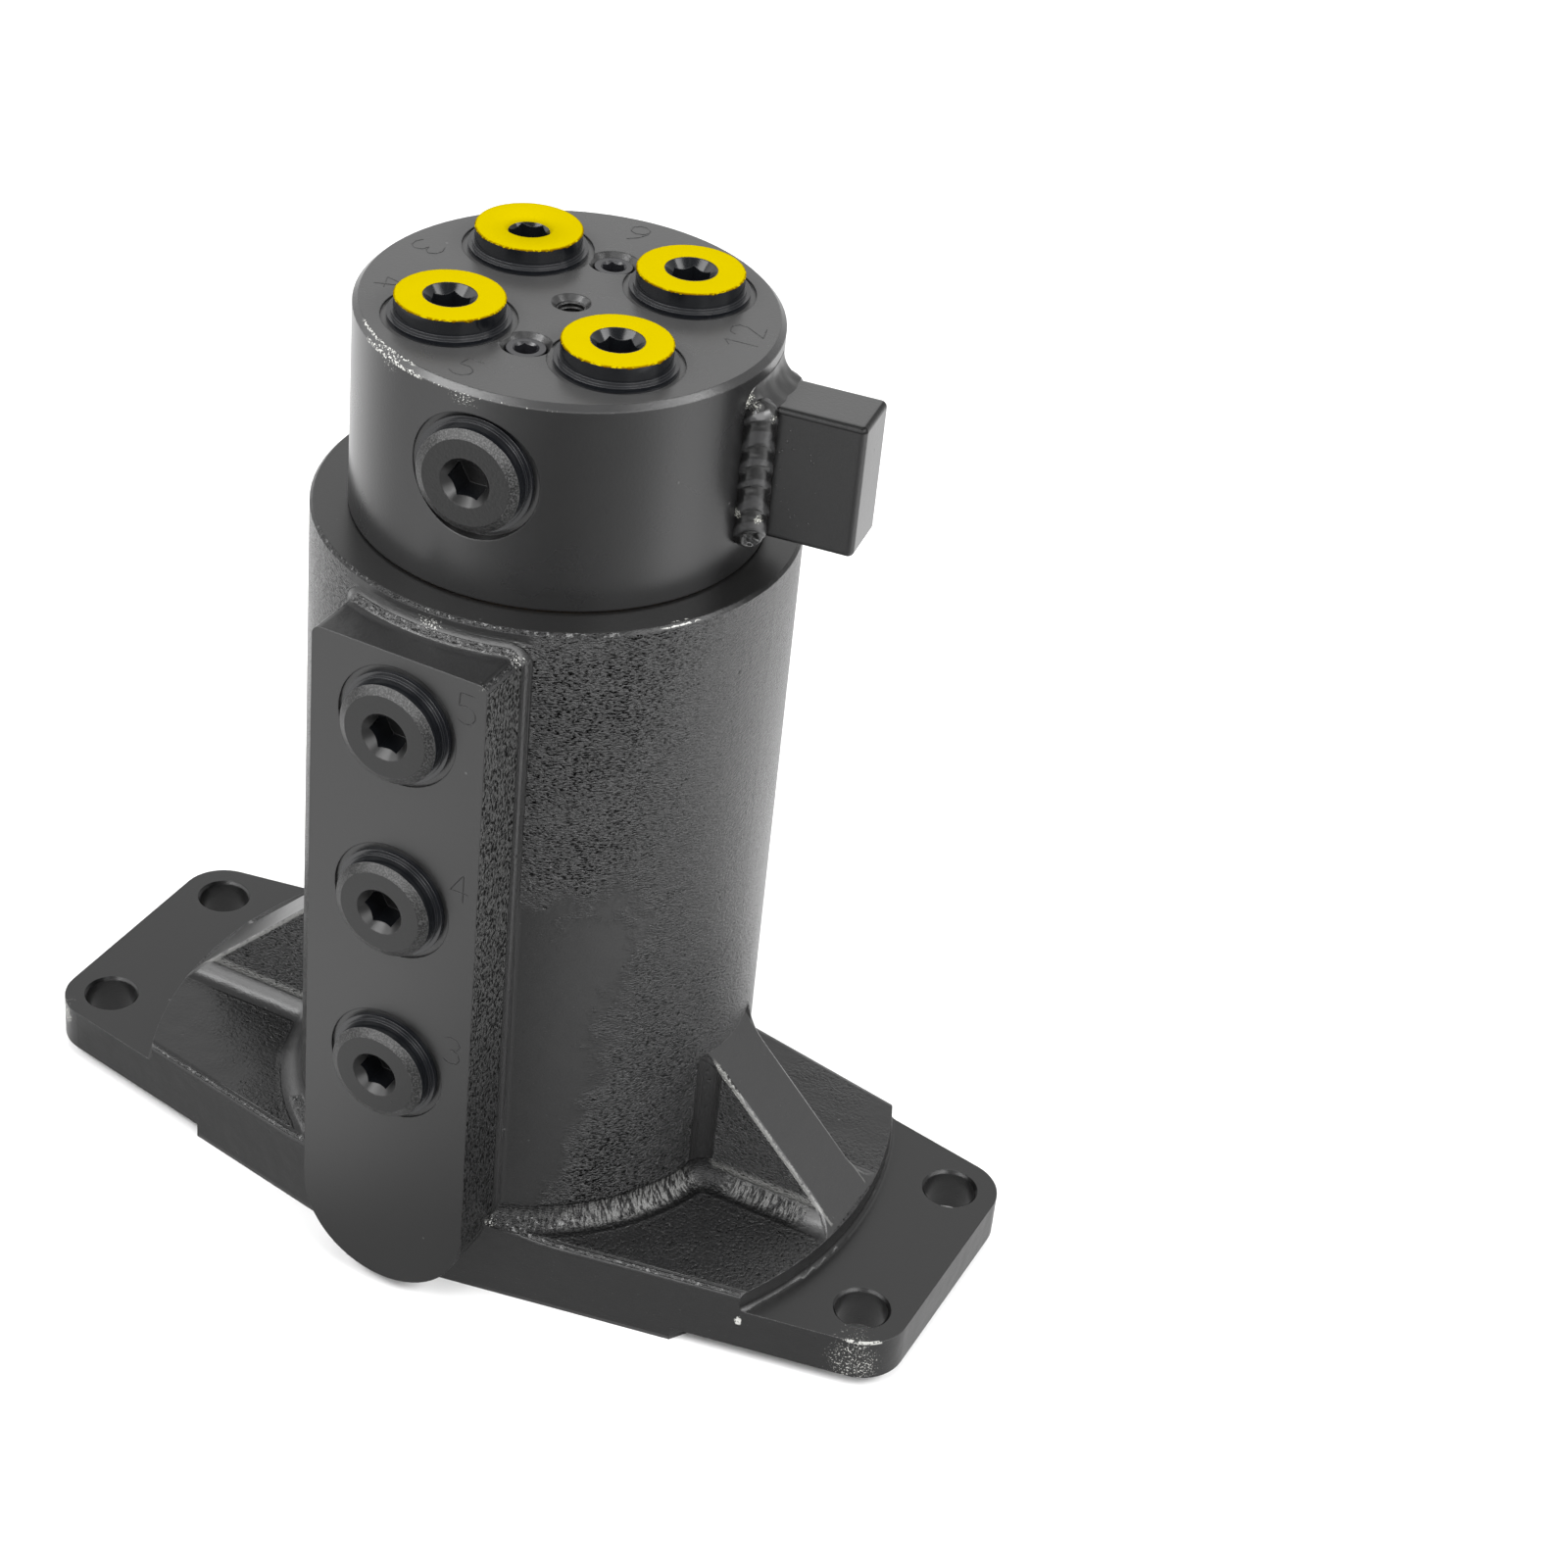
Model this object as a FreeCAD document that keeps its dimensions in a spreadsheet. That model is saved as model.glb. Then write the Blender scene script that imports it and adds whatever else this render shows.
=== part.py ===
import FreeCAD, Part
import math
import os
import re

import Sketcher

# Centre swivel joint of a small excavator: a cast housing bolts down by two ears,
# and a one-piece spindle turns in it, so that six oil lines cross the slewing axis.
# Origin: on the swivel axis, in the plane of the ears' underside. +Z is up the axis,
# the ears point along X and the front port pad faces -Y. Millimetres.

SIZES = {
    # flange, seen from above a hexagon with its apexes on the pads
    "ear_reach": 127.5,
    "ear_half_width": 37.0,
    "flange_apex": 61.7,
    "ear_thickness": 12.0,
    "ear_corner": 12.0,
    "floor_height": 17.5,
    "floor_radius": 99.5,
    "floor_edge": 2.2,
    "step_fillet": 1.5,
    "boss_radius": 86.5,
    "boss_depth": 4.0,
    "ear_hole_from_end": 12.5,
    "ear_hole_from_side": 10.3,
    "ear_hole_radius": 6.75,
    "ear_hole_chamfer": 0.7,
    # barrel, ribs and port pads
    "barrel_radius": 59.0,
    "barrel_top": 194.5,
    "barrel_edge": 0.8,
    "rib_width": 20.0,
    "rib_top": 57.0,
    "rib_end_gap": 1.0,
    "rib_edge": 1.2,
    "base_fillet": 7.0,
    "pad_stand": 11.6,
    "pad_half_width": 23.2,
    "pad_top": 188.2,
    "pad_corner": 2.5,
    "pad_fillet": 4.0,
    # oil circuits: levels on the axis
    "top_level": 169.0,
    "level_pitch": 24.75,
    "gallery_width": 11.0,
    "gallery_depth": 3.5,
    "drilling_radius": 4.5,
    "drilling_overrun": 2.0,
    # spindle
    "shaft_radius": 40.0,
    "running_clearance": 0.05,
    "shaft_end": 12.5,
    "shaft_end_chamfer": 1.5,
    "head_radius": 50.0,
    "head_height": 52.5,
    "head_gap": 0.5,
    "head_chamfer": 1.4,
    "rest_angle": 5.1,
    "top_port_circle": 29.4,
    "side_port_drop": 21.5,
    "side_flat": 47.3,
    "cross_hole_circle": 24.0,
    "lifting_hole_radius": 3.4,
    "lifting_hole_depth": 16.0,
    "lifting_hole_mouth": 4.7,
    # ports and their plugs
    "spot_radius": 15.7,
    "spot_depth": 0.6,
    "spot_clearance": 6.0,
    "thread_radius": 10.0,
    "thread_depth": 16.0,
    "thread_clearance": 0.05,
    "shank_length": 12.0,
    "collar_radius": 12.8,
    "collar_height": 3.7,
    "collar_chamfer_width": 2.1,
    "collar_chamfer_depth": 1.3,
    "painted_chamfer": 0.25,
    "hexagon_flats": 8.5,
    "hexagon_depth": 8.0,
    "countersink_radius": 6.1,
    "countersink_depth": 2.1,
    "washer_height": 2.2,
    "washer_radius": 14.3,
    "washer_step_radius": 13.3,
    "washer_rim_height": 1.4,
    # small taper plugs that close the cross drillings
    "taper_plug_radius": 4.6,
    "taper_plug_length": 8.0,
    "taper_plug_sink": 0.9,
    "taper_mouth_radius": 6.2,
    "taper_hexagon_flats": 5.0,
    "taper_hexagon_depth": 4.5,
    "taper_countersink": 0.6,
    # slip rings in the bore
    "slip_groove_width": 4.2,
    "slip_groove_depth": 4.0,
    "slip_ring_width": 4.0,
    "slip_ring_depth": 2.1,
    "energizer_radius": 0.88,
    "dust_groove_top": 190.5,
    "dust_seal_width": 5.0,
    "dust_seal_depth": 4.5,
    "seal_side_clearance": 0.1,
    # thrust ring under the head
    "thrust_ring_inner": 41.0,
    "thrust_ring_outer": 48.6,
    "thrust_ring_height": 2.95,
    # lower end: washer, snap ring, cover and its screws
    "chamber_radius": 46.0,
    "chamber_top": 22.0,
    "washer_plate_height": 3.3,
    "axial_play": 0.08,
    "snap_ring_height": 2.4,
    "snap_ring_outer": 44.0,
    "snap_groove_depth": 2.5,
    "snap_ring_gap": 14.0,
    "cover_radius": 60.0,
    "cover_thickness": 10.0,
    "cover_inset": 0.5,
    "cover_spigot_height": 3.6,
    "cover_o_ring_radius": 1.0,
    "cover_screw_circle": 52.5,
    "cover_screw_count": 4,
    "screw_radius": 3.0,
    "screw_length": 16.0,
    "screw_head_radius": 5.0,
    "screw_head_height": 6.0,
    "screw_hexagon_flats": 5.0,
    "screw_hexagon_depth": 3.0,
    "screw_hole_clearance": 0.3,
    "screw_sink": 0.5,
    # stop lug and its weld
    "lug_reach": 75.7,
    "lug_width": 16.4,
    "lug_height": 34.1,
    "lug_top_drop": 9.1,
    "lug_edge": 1.6,
    "lug_angle": 2.5,
    "weld_bead_radius": 4.0,
    "weld_centre_out": 1.2,
    "weld_top_leg": 5.0,
    "weld_top_hollow": 6.5,
}

UP, EAST = FreeCAD.Vector(0, 0, 1), FreeCAD.Vector(1, 0, 0)
NORTH, SOUTH = FreeCAD.Vector(0, 1, 0), FreeCAD.Vector(0, -1, 0)

# Each circuit: the number stamped beside its ports, its level counted down from the top
# one, the pad it leaves by, and the angle and circle of its drilling in the spindle.
TOP_PORTS = {1: (5, -45), 2: (3, 45), 3: (4, 135), 4: (2, -135)}
SIDE_PORTS = {5: (0, SOUTH, "front"), 6: (1, NORTH, "rear")}
PAD_PORTS = {"front": (SOUTH, {"upper": 0, "middle": 2, "lower": 4}),
             "rear": (NORTH, {"upper": 1, "middle": 3, "lower": 5})}
LEVELS = 6

PAD_FACE = "(barrel_radius + pad_stand)"
HEAD_BASE = "(barrel_top + head_gap)"
HEAD_TOP = "(barrel_top + head_gap + head_height)"
BORE = "(shaft_radius + running_clearance)"
SLIP_GROOVE = "(shaft_radius + running_clearance + slip_groove_depth)"
COVER_FACE = "(cover_inset - boss_depth)"
COVER_SEAT = "(cover_inset - boss_depth + cover_thickness)"
SNAP_RING_TOP = "(chamber_top - axial_play - washer_plate_height)"
THRUST_SEAT = "(barrel_top + head_gap - running_clearance - thrust_ring_height)"
SCREW_SEAT = "(cover_inset - boss_depth + screw_head_height + screw_sink)"
LUG_TOP = "(barrel_top + head_gap + head_height - lug_top_drop)"

doc = FreeCAD.newDocument("swivel_joint")
parts = []


def write_sheet():
    sheet = doc.addObject("Spreadsheet::Sheet", "sizes")
    for row, (name, number) in enumerate(SIZES.items(), 1):
        sheet.set(f"A{row}", name)
        sheet.set(f"B{row}", str(number))
        sheet.setAlias(f"B{row}", name)
    doc.recompute()
    return sheet


sheet = write_sheet()


def size(name):
    return float(sheet.get(name))


def linked(text):
    """The expression with each size's name pointed at the spreadsheet."""
    return re.sub(r"[a-z_]{3,}", lambda m: "sizes." + m[0] if m[0] in SIZES else m[0], str(text))


def bind(item, **expressions):
    for name, text in expressions.items():
        item.setExpression(name, linked(text))
    return item


def place(item, x=0, y=0, z=0, axis=UP):
    item.Placement.Rotation = FreeCAD.Rotation(UP, axis)
    for letter, text in zip("xyz", (x, y, z)):
        item.setExpression(f"Placement.Base.{letter}", linked(text))
    return item


def cylinder(radius, height, x=0, y=0, z=0, axis=UP):
    item = bind(doc.addObject("Part::Cylinder", "round"), Radius=radius, Height=height)
    return place(item, x, y, z, axis)


def cone(low_radius, high_radius, height, x=0, y=0, z=0, axis=UP):
    item = doc.addObject("Part::Cone", "taper")
    bind(item, Radius1=low_radius, Radius2=high_radius, Height=height)
    return place(item, x, y, z, axis)


def block(length, width, height, x=0, y=0, z=0):
    item = bind(doc.addObject("Part::Box", "block"), Length=length, Width=width, Height=height)
    return place(item, x, y, z)


def torus(ring_radius, cord_radius, z):
    item = bind(doc.addObject("Part::Torus", "cord"), Radius1=ring_radius, Radius2=cord_radius)
    return place(item, z=z)


def hexagon(flats, height, z=0):
    item = doc.addObject("Part::Prism", "hexagon")
    item.Polygon = 6
    bind(item, Circumradius=f"({flats}) / sqrt(3)", Height=height)
    return place(item, z=z)


def fuse(*items):
    if len(items) == 1:
        return items[0]
    item = doc.addObject("Part::MultiFuse", "joined")
    item.Shapes = list(items)
    item.Refine = True
    return item


def cut(base, *tools):
    item = doc.addObject("Part::Cut", "cut")
    item.Base = base
    item.Tool = fuse(*tools)
    item.Refine = True
    return item


def common(*items):
    item = doc.addObject("Part::MultiCommon", "common")
    item.Shapes = list(items)
    item.Refine = True
    return item


def ring(outer, inner, height, z=0):
    return cut(cylinder(outer, height, z=z), cylinder(inner, f"{height} + 2", z=f"{z} - 1"))


def turned(item, x=0, y=0, z=0, axis=UP, angle=0):
    """Puts a cut or joined piece, built along +Z, at its place, then turns it about the axis."""
    spin = FreeCAD.Placement(FreeCAD.Vector(), FreeCAD.Rotation(UP, angle))
    at = FreeCAD.Placement(FreeCAD.Vector(x, y, z), FreeCAD.Rotation(UP, axis))
    item.Placement = spin.multiply(at)
    return item


def label(item, name):
    item.Label = name
    parts.append(item)
    return item


def edges_where(item, test):
    """Numbers of the edges whose middle point and length pass the test."""
    doc.recompute()
    chosen = []
    for number, edge in enumerate(item.Shape.Edges, 1):
        middle = edge.valueAt((edge.FirstParameter + edge.LastParameter) / 2)
        if test(middle, edge.Length):
            chosen.append(number)
    return chosen


def fillet(item, radius, test, kind="Part::Fillet"):
    numbers = edges_where(item, test)
    worked = doc.addObject(kind, "edges")
    worked.Base = item
    worked.Edges = [(number, size(radius), size(radius)) for number in numbers]
    return worked


def chamfer(item, width, test):
    return fillet(item, width, test, "Part::Chamfer")


def near(first, second, tolerance=0.3):
    return abs(first - second) < tolerance


def outline_sketch(points, upright=False):
    """A closed sketch of straight lines, each corner held by two sizes from the origin."""
    sketch = doc.addObject("Sketcher::SketchObject", "outline")
    if upright:
        sketch.Placement.Rotation = FreeCAD.Rotation(EAST, 90)
    start = [FreeCAD.Vector(10 * math.cos(i), 10 * math.sin(i), 0) for i in range(len(points))]
    for i in range(len(points)):
        sketch.addGeometry(Part.LineSegment(start[i], start[(i + 1) % len(points)]))
    for i in range(len(points)):
        sketch.addConstraint(Sketcher.Constraint("Coincident", i, 2, (i + 1) % len(points), 1))
    for i, (x, y) in enumerate(points):
        for kind, text in (("DistanceX", x), ("DistanceY", y)):
            index = sketch.addConstraint(Sketcher.Constraint(kind, -1, 1, i, 1, 1.0))
            sketch.setExpression(f"Constraints[{index}]", linked(text))
    return sketch


def extrusion(sketch, direction, length, start="0"):
    item = doc.addObject("Part::Extrusion", "extrusion")
    item.Base = sketch
    item.DirMode = "Custom"
    item.Dir = direction
    item.Solid = True
    bind(item, LengthFwd=length, LengthRev=start)
    return item


# Housing

def flange_prism():
    """The flange's outline as a prism from the boss's underside to the barrel's top."""
    plan = outline_sketch([("ear_reach", "-ear_half_width"), ("ear_reach", "ear_half_width"),
                           ("0", "flange_apex"), ("-ear_reach", "ear_half_width"),
                           ("-ear_reach", "-ear_half_width"), ("0", "-flange_apex")])
    prism = extrusion(plan, UP, "barrel_top", "boss_depth")
    return fillet(prism, "ear_corner", lambda m, length: near(abs(m.x), size("ear_reach"))
                  and near(abs(m.y), size("ear_half_width")))


def square_slab(height):
    return block("2 * ear_reach", "2 * ear_reach", height, "-ear_reach", "-ear_reach")


def filleted_roots():
    """Floor, barrel and rib sides, all endless, with cast fillets where they meet."""
    wall = block("2 * ear_reach", "rib_width", "2 * rib_top", "-ear_reach", "-rib_width / 2")
    solid = fuse(square_slab("floor_height"), cylinder("barrel_radius", "barrel_top"), wall)
    half_rib, radius, floor = size("rib_width") / 2, size("barrel_radius"), size("floor_height")
    root_x = math.sqrt(radius ** 2 - half_rib ** 2)

    def is_root(m, length):
        on_floor, on_rib_side = near(m.z, floor), near(abs(m.y), half_rib)
        upright = on_rib_side and near(abs(m.x), root_x) and m.z > floor
        round_barrel = on_floor and near(math.hypot(m.x, m.y), radius)
        return upright or round_barrel or on_floor and on_rib_side

    return fillet(solid, "base_fillet", is_root)


def under_rib_tops():
    """The space under the ribs' sloping tops, as wide as the flange."""
    end = "(floor_radius - rib_end_gap)"
    slope = f"((rib_top - floor_height) / ({end} - barrel_radius))"
    inner = "barrel_radius / 2"
    crown = f"floor_height + ({end} - {inner}) * {slope}"
    low = "-boss_depth"
    profile = outline_sketch([("-ear_reach", low), ("ear_reach", low), ("ear_reach", "floor_height"),
                              (end, "floor_height"), (inner, crown), (f"-{inner}", crown),
                              (f"-{end}", "floor_height"), ("-ear_reach", "floor_height")],
                             upright=True)
    return extrusion(profile, SOUTH, "ear_reach", "ear_reach")


def ribbed_floor():
    """The cast floor with both ribs, cut to their slopes and rounded along the upper edges."""
    solid = common(filleted_roots(), under_rib_tops())
    floor, end = size("floor_height"), size("floor_radius") - size("rib_end_gap")
    slope = (size("rib_top") - floor) / (end - size("barrel_radius"))

    def is_crown_edge(m, length):
        on_slope = near(m.z, floor + (end - abs(m.x)) * slope, 0.02)
        return on_slope and near(abs(m.y), size("rib_width") / 2, size("base_fillet"))

    return fillet(solid, "rib_edge", is_crown_edge)


def base_casting():
    prism = flange_prism()
    floor = common(ribbed_floor(), cylinder("floor_radius", "barrel_top"), prism)
    ears = common(square_slab("ear_thickness"), prism)
    boss = common(cylinder("boss_radius", "boss_depth + ear_thickness", z="-boss_depth"), prism)
    solid = fuse(floor, ears, boss, cylinder("barrel_radius", "barrel_top"))
    solid = fillet(solid, "floor_edge", lambda m, length: near(m.z, size("floor_height"))
                   and abs(m.y) > size("ear_half_width") and length > size("base_fillet"))
    return fillet(solid, "step_fillet", lambda m, length: near(m.z, size("ear_thickness"))
                  and near(math.hypot(m.x, m.y), size("floor_radius")))


def port_pads():
    """Front and rear pad, one bar through the barrel with a round lower end."""
    depth = f"2 * {PAD_FACE}"
    bar = block("2 * pad_half_width", depth, "pad_top - pad_half_width",
                "-pad_half_width", f"-{PAD_FACE}", "pad_half_width")
    bar = fillet(bar, "pad_corner", lambda m, length: near(m.z, size("pad_top"))
                 and near(abs(m.x), size("pad_half_width")))
    foot = cylinder("pad_half_width", depth, 0, f"-{PAD_FACE}", "pad_half_width", NORTH)
    stem = cylinder("barrel_radius", "barrel_top + pad_half_width", z="-pad_half_width")
    radius = size("barrel_radius")

    def is_root(m, length):
        on_pad = abs(m.x) < 1.1 * size("pad_half_width") and -1 < m.z < size("pad_top") + 1
        return on_pad and near(math.hypot(m.x, m.y), radius)

    column = fillet(fuse(stem, bar, foot), "pad_fillet", is_root)
    return cut(column, cylinder(depth, "2 * pad_half_width", z="-2 * pad_half_width"))


def level(number):
    """Height of an oil circuit, counted down from the top one."""
    return f"(top_level - ({number}) * level_pitch)"


def port_tool(drilling_length):
    """Spot face, thread and drilling of a port that opens upwards, its seat at zero."""
    return fuse(cylinder("spot_radius", "spot_clearance"),
                cylinder("thread_radius + thread_clearance", "thread_depth", z="-thread_depth"),
                cylinder("drilling_radius", drilling_length, z=f"-({drilling_length})"))


def ring_groove(radius, width, z):
    """A groove in the housing's bore, centred on z."""
    return cylinder(radius, width, z=f"{z} - ({width}) / 2")


def housing_bore():
    """Everything that is turned out of the housing along the axis."""
    low = "2 * boss_depth"
    tools = [cylinder(BORE, f"barrel_top + 2 * ({low})", z=f"-({low})"),
             cylinder("chamber_radius", f"chamber_top + {low}", z=f"-({low})"),
             cylinder("cover_radius + thread_clearance", f"{COVER_SEAT} + {low}", z=f"-({low})"),
             cylinder("thrust_ring_outer + thread_clearance", "2 * thrust_ring_height", z=THRUST_SEAT),
             cylinder(f"{BORE} + dust_seal_depth", "dust_seal_width",
                      z="dust_groove_top - dust_seal_width")]
    for i in range(LEVELS + 1):
        tools.append(ring_groove(SLIP_GROOVE, "slip_groove_width", level(i - 0.5)))
    return tools


def ear_holes():
    tools = []
    wide, narrow = "ear_hole_radius + ear_hole_chamfer", "ear_hole_radius"
    across, along = "(ear_reach - ear_hole_from_end)", "(ear_half_width - ear_hole_from_side)"
    for x in (across, f"-{across}"):
        for y in (along, f"-{along}"):
            tools.append(cylinder(narrow, "3 * ear_thickness", x, y, "-ear_thickness"))
            upper_edge = "ear_thickness - ear_hole_chamfer"
            tools.append(cone(narrow, wide, "ear_hole_chamfer", x, y, upper_edge))
    return tools


def screw_angles():
    count = int(size("cover_screw_count"))
    return [360 * (i + 0.5) / count for i in range(count)]


def screw_holes(radius, length, z):
    circle = "cover_screw_circle"
    return [cylinder(radius, length, f"{circle} * cos({angle} deg)", f"{circle} * sin({angle} deg)", z)
            for angle in screw_angles()]


def pad_seats():
    """Each pad port: its name, and the placement of its seat."""
    for side, (way, ports) in PAD_PORTS.items():
        for name, number in ports.items():
            y = way.y * (size("barrel_radius") + size("pad_stand") - size("spot_depth"))
            z = size("top_level") - number * size("level_pitch")
            yield f"{side}_{name}", dict(y=y, z=z, axis=way)


def housing():
    casting = fuse(base_casting(), port_pads())
    casting = chamfer(casting, "barrel_edge", lambda m, length: near(m.z, size("barrel_top")))
    tools = housing_bore() + ear_holes()
    tools += screw_holes("screw_radius + thread_clearance", "screw_length", COVER_SEAT)
    for name, seat in pad_seats():
        tools.append(turned(port_tool(f"{PAD_FACE} - shaft_radius + drilling_overrun"), **seat))
    return label(cut(casting, *tools), "housing")


# Spindle

def top_seats():
    """Each port on top of the head: its number, and the placement of its seat."""
    z = size("barrel_top") + size("head_gap") + size("head_height") - size("spot_depth")
    for number, (circuit, angle) in TOP_PORTS.items():
        yield number, dict(x=size("top_port_circle"), z=z, angle=angle + size("rest_angle"))


def side_seats():
    z = size("barrel_top") + size("head_gap") + size("head_height") - size("side_port_drop")
    for number, (circuit, way, name) in SIDE_PORTS.items():
        yield name, dict(y=way.y * size("side_flat"), z=z, axis=way, angle=size("rest_angle"))


def in_rotor(item, **seat):
    """The same seat, before the spindle is turned to its rest angle."""
    seat["angle"] = seat["angle"] - size("rest_angle")
    return turned(item, **seat)


def circuit_drillings():
    """Upright drillings in the spindle, each with its way out to its gallery."""
    tools = []
    sides = {number: (circuit, -90 * (1 if way is SOUTH else -1), "cross_hole_circle")
             for number, (circuit, way, name) in SIDE_PORTS.items()}
    tops = {number: (circuit, angle, "top_port_circle")
            for number, (circuit, angle) in TOP_PORTS.items()}
    for circuit, angle, circle in {**tops, **sides}.values():
        bore, z = "drilling_radius", level(circuit)
        upright = cylinder(bore, f"{HEAD_TOP} - {z}", circle, 0, z)
        outlet = cylinder(bore, f"shaft_radius - {circle}", circle, 0, z, EAST)
        tools.append(turned(fuse(upright, outlet), angle=angle))
    return tools


def cross_hole_mouths():
    tools = []
    for number, (circuit, way, name) in SIDE_PORTS.items():
        y = f"{way.y} * cross_hole_circle"
        depth = "taper_plug_sink + taper_plug_length"
        narrow, wide = "taper_plug_radius", "taper_mouth_radius"
        tools.append(cylinder(narrow, depth, 0, y, f"{HEAD_TOP} - ({depth})"))
        tools.append(cone(narrow, wide, f"{wide} - {narrow}", 0, y, f"{HEAD_TOP} - ({wide} - {narrow})"))
    return tools


def gallery(circuit):
    inner = "shaft_radius - gallery_depth"
    return ring("shaft_radius + 1", inner, "gallery_width", f"{level(circuit)} - gallery_width / 2")


def spindle():
    head = cylinder("head_radius", "head_height", z=HEAD_BASE)
    middle = size("barrel_top") + size("head_gap") + size("head_height") / 2
    head = chamfer(head, "head_chamfer", lambda m, length: m.z > middle
                   and length > size("head_radius") * 3)
    shaft = cylinder("shaft_radius", f"{HEAD_BASE} - shaft_end", z="shaft_end")
    shaft = chamfer(shaft, "shaft_end_chamfer", lambda m, length: near(m.z, size("shaft_end")))
    tools = circuit_drillings() + cross_hole_mouths()
    tools += [gallery(circuit) for circuit in range(LEVELS)]
    tools.append(ring("shaft_radius + 1", "shaft_radius - snap_groove_depth", "snap_ring_height",
                      f"{SNAP_RING_TOP} - snap_ring_height"))
    narrow, wide = "lifting_hole_radius", "lifting_hole_mouth"
    tools.append(cylinder(narrow, "lifting_hole_depth", z=f"{HEAD_TOP} - lifting_hole_depth"))
    tools.append(cone(narrow, wide, f"{wide} - {narrow}", z=f"{HEAD_TOP} - ({wide} - {narrow})"))
    for number, seat in top_seats():
        tools.append(in_rotor(port_tool("thread_depth"), **seat))
    for name, seat in side_seats():
        tools.append(in_rotor(port_tool("side_flat - cross_hole_circle"), **seat))
    solid = cut(fuse(head, shaft), *tools)
    return label(turned(solid, angle=size("rest_angle")), "spindle")


# Stop lug and weld

def lug_block():
    length, low = "lug_reach - head_radius / 2", f"{LUG_TOP} - lug_height"
    bar = block(length, "lug_width", "lug_height", "head_radius / 2", "-lug_width / 2", low)
    return fillet(bar, "lug_edge", lambda m, length: m.x > size("head_radius") * 0.6)


def head_core():
    return cylinder("head_radius", "head_height", z=HEAD_BASE)


def on_lug_line(item):
    """Turned to the bar's direction, a little past the spindle's own."""
    return turned(item, angle=size("rest_angle") + size("lug_angle"))


def stop_lug():
    return label(on_lug_line(cut(lug_block(), head_core())), "stop_lug")


def sphere(radius, x, y, z):
    return place(bind(doc.addObject("Part::Sphere", "ball"), Radius=radius), x, y, z)


def top_bead():
    """The bead over the bar's top, hollow between the head and the bar."""
    leg, hollow, side = "weld_top_leg", "weld_top_hollow", "(lug_width + weld_centre_out) / 2"
    away = f"({leg} + sqrt(2 * {hollow} ^ 2 - {leg} ^ 2)) / 2"
    bead = block(f"head_radius / 2 + {leg}", f"2 * ({side})", leg,
                 "head_radius / 2", f"-({side})", LUG_TOP)
    trough = cylinder(hollow, f"4 * ({side})", f"head_radius + {away}", f"-2 * ({side})",
                      f"{LUG_TOP} + {away}", NORTH)
    return cut(bead, trough)


def lug_weld():
    """A bead down both sides of the bar and over its top, open at the bottom."""
    x = "sqrt(head_radius ^ 2 - (lug_width / 2) ^ 2) + weld_centre_out"
    side, over = "lug_width / 2 + weld_centre_out", f"{LUG_TOP} + weld_centre_out"
    low = f"{LUG_TOP} - lug_height"
    beads = [top_bead()]
    for y in (side, f"-({side})"):
        beads.append(cylinder("weld_bead_radius", f"{over} - ({low})", x, y, low))
        beads += [sphere("weld_bead_radius", x, y, over), sphere("weld_bead_radius", x, y, low)]
    return label(on_lug_line(cut(fuse(*beads), head_core(), lug_block())), "lug_weld")


# Port plugs

def port_plug(name, seat, chamfer_width, chamfer_depth):
    collar_top = "washer_height + collar_height"
    collar = cylinder("collar_radius", f"collar_height - ({chamfer_depth})", z="washer_height")
    crown = cone("collar_radius", f"collar_radius - ({chamfer_width})", chamfer_depth,
                 z=f"{collar_top} - ({chamfer_depth})")
    shank = cylinder("thread_radius", "shank_length + washer_height", z="-shank_length")
    socket = hexagon("hexagon_flats", "hexagon_depth + 1", f"{collar_top} - hexagon_depth")
    narrow = "hexagon_flats / 2"
    sink = cone(narrow, "countersink_radius", "countersink_depth", z=f"{collar_top} - countersink_depth")
    return label(turned(cut(fuse(collar, crown, shank), socket, sink), **seat), name)


def painted_plug(name, seat):
    return port_plug(name, seat, "painted_chamfer", "painted_chamfer")


def black_plug(name, seat):
    return port_plug(name, seat, "collar_chamfer_width", "collar_chamfer_depth")


def plug_washer(name, seat):
    """Bonded washer under a plug's collar, its rim wider than its top step."""
    rim = cylinder("washer_radius", "washer_rim_height")
    step = cylinder("washer_step_radius", "washer_height")
    hole = cylinder("thread_radius + thread_clearance", "washer_height + 2", z="-1")
    return label(turned(cut(fuse(rim, step), hole), **seat), name)


def port_plugs():
    for number, seat in top_seats():
        painted_plug(f"top_plug_{number}", seat)
        plug_washer(f"top_washer_{number}", seat)
    for name, seat in side_seats():
        black_plug(f"side_plug_{name}", seat)
        plug_washer(f"side_washer_{name}", seat)
    for name, seat in pad_seats():
        black_plug(f"plug_{name}", seat)
        plug_washer(f"washer_{name}", seat)


def taper_plugs():
    top = "taper_plug_length"
    for number, (circuit, way, name) in SIDE_PORTS.items():
        body = cylinder("taper_plug_radius - thread_clearance", "taper_plug_length")
        socket = hexagon("taper_hexagon_flats", "taper_hexagon_depth + 1", f"{top} - taper_hexagon_depth")
        wide = "taper_hexagon_flats / 2 + taper_countersink"
        sink = cone("taper_hexagon_flats / 2", wide, "taper_countersink", z=f"{top} - taper_countersink")
        z = size("barrel_top") + size("head_gap") + size("head_height")
        z -= size("taper_plug_sink") + size("taper_plug_length")
        plug = turned(cut(body, socket, sink), y=way.y * size("cross_hole_circle"), z=z,
                      angle=size("rest_angle"))
        label(plug, f"taper_plug_{name}")


# Seals and rings in the bore

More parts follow.
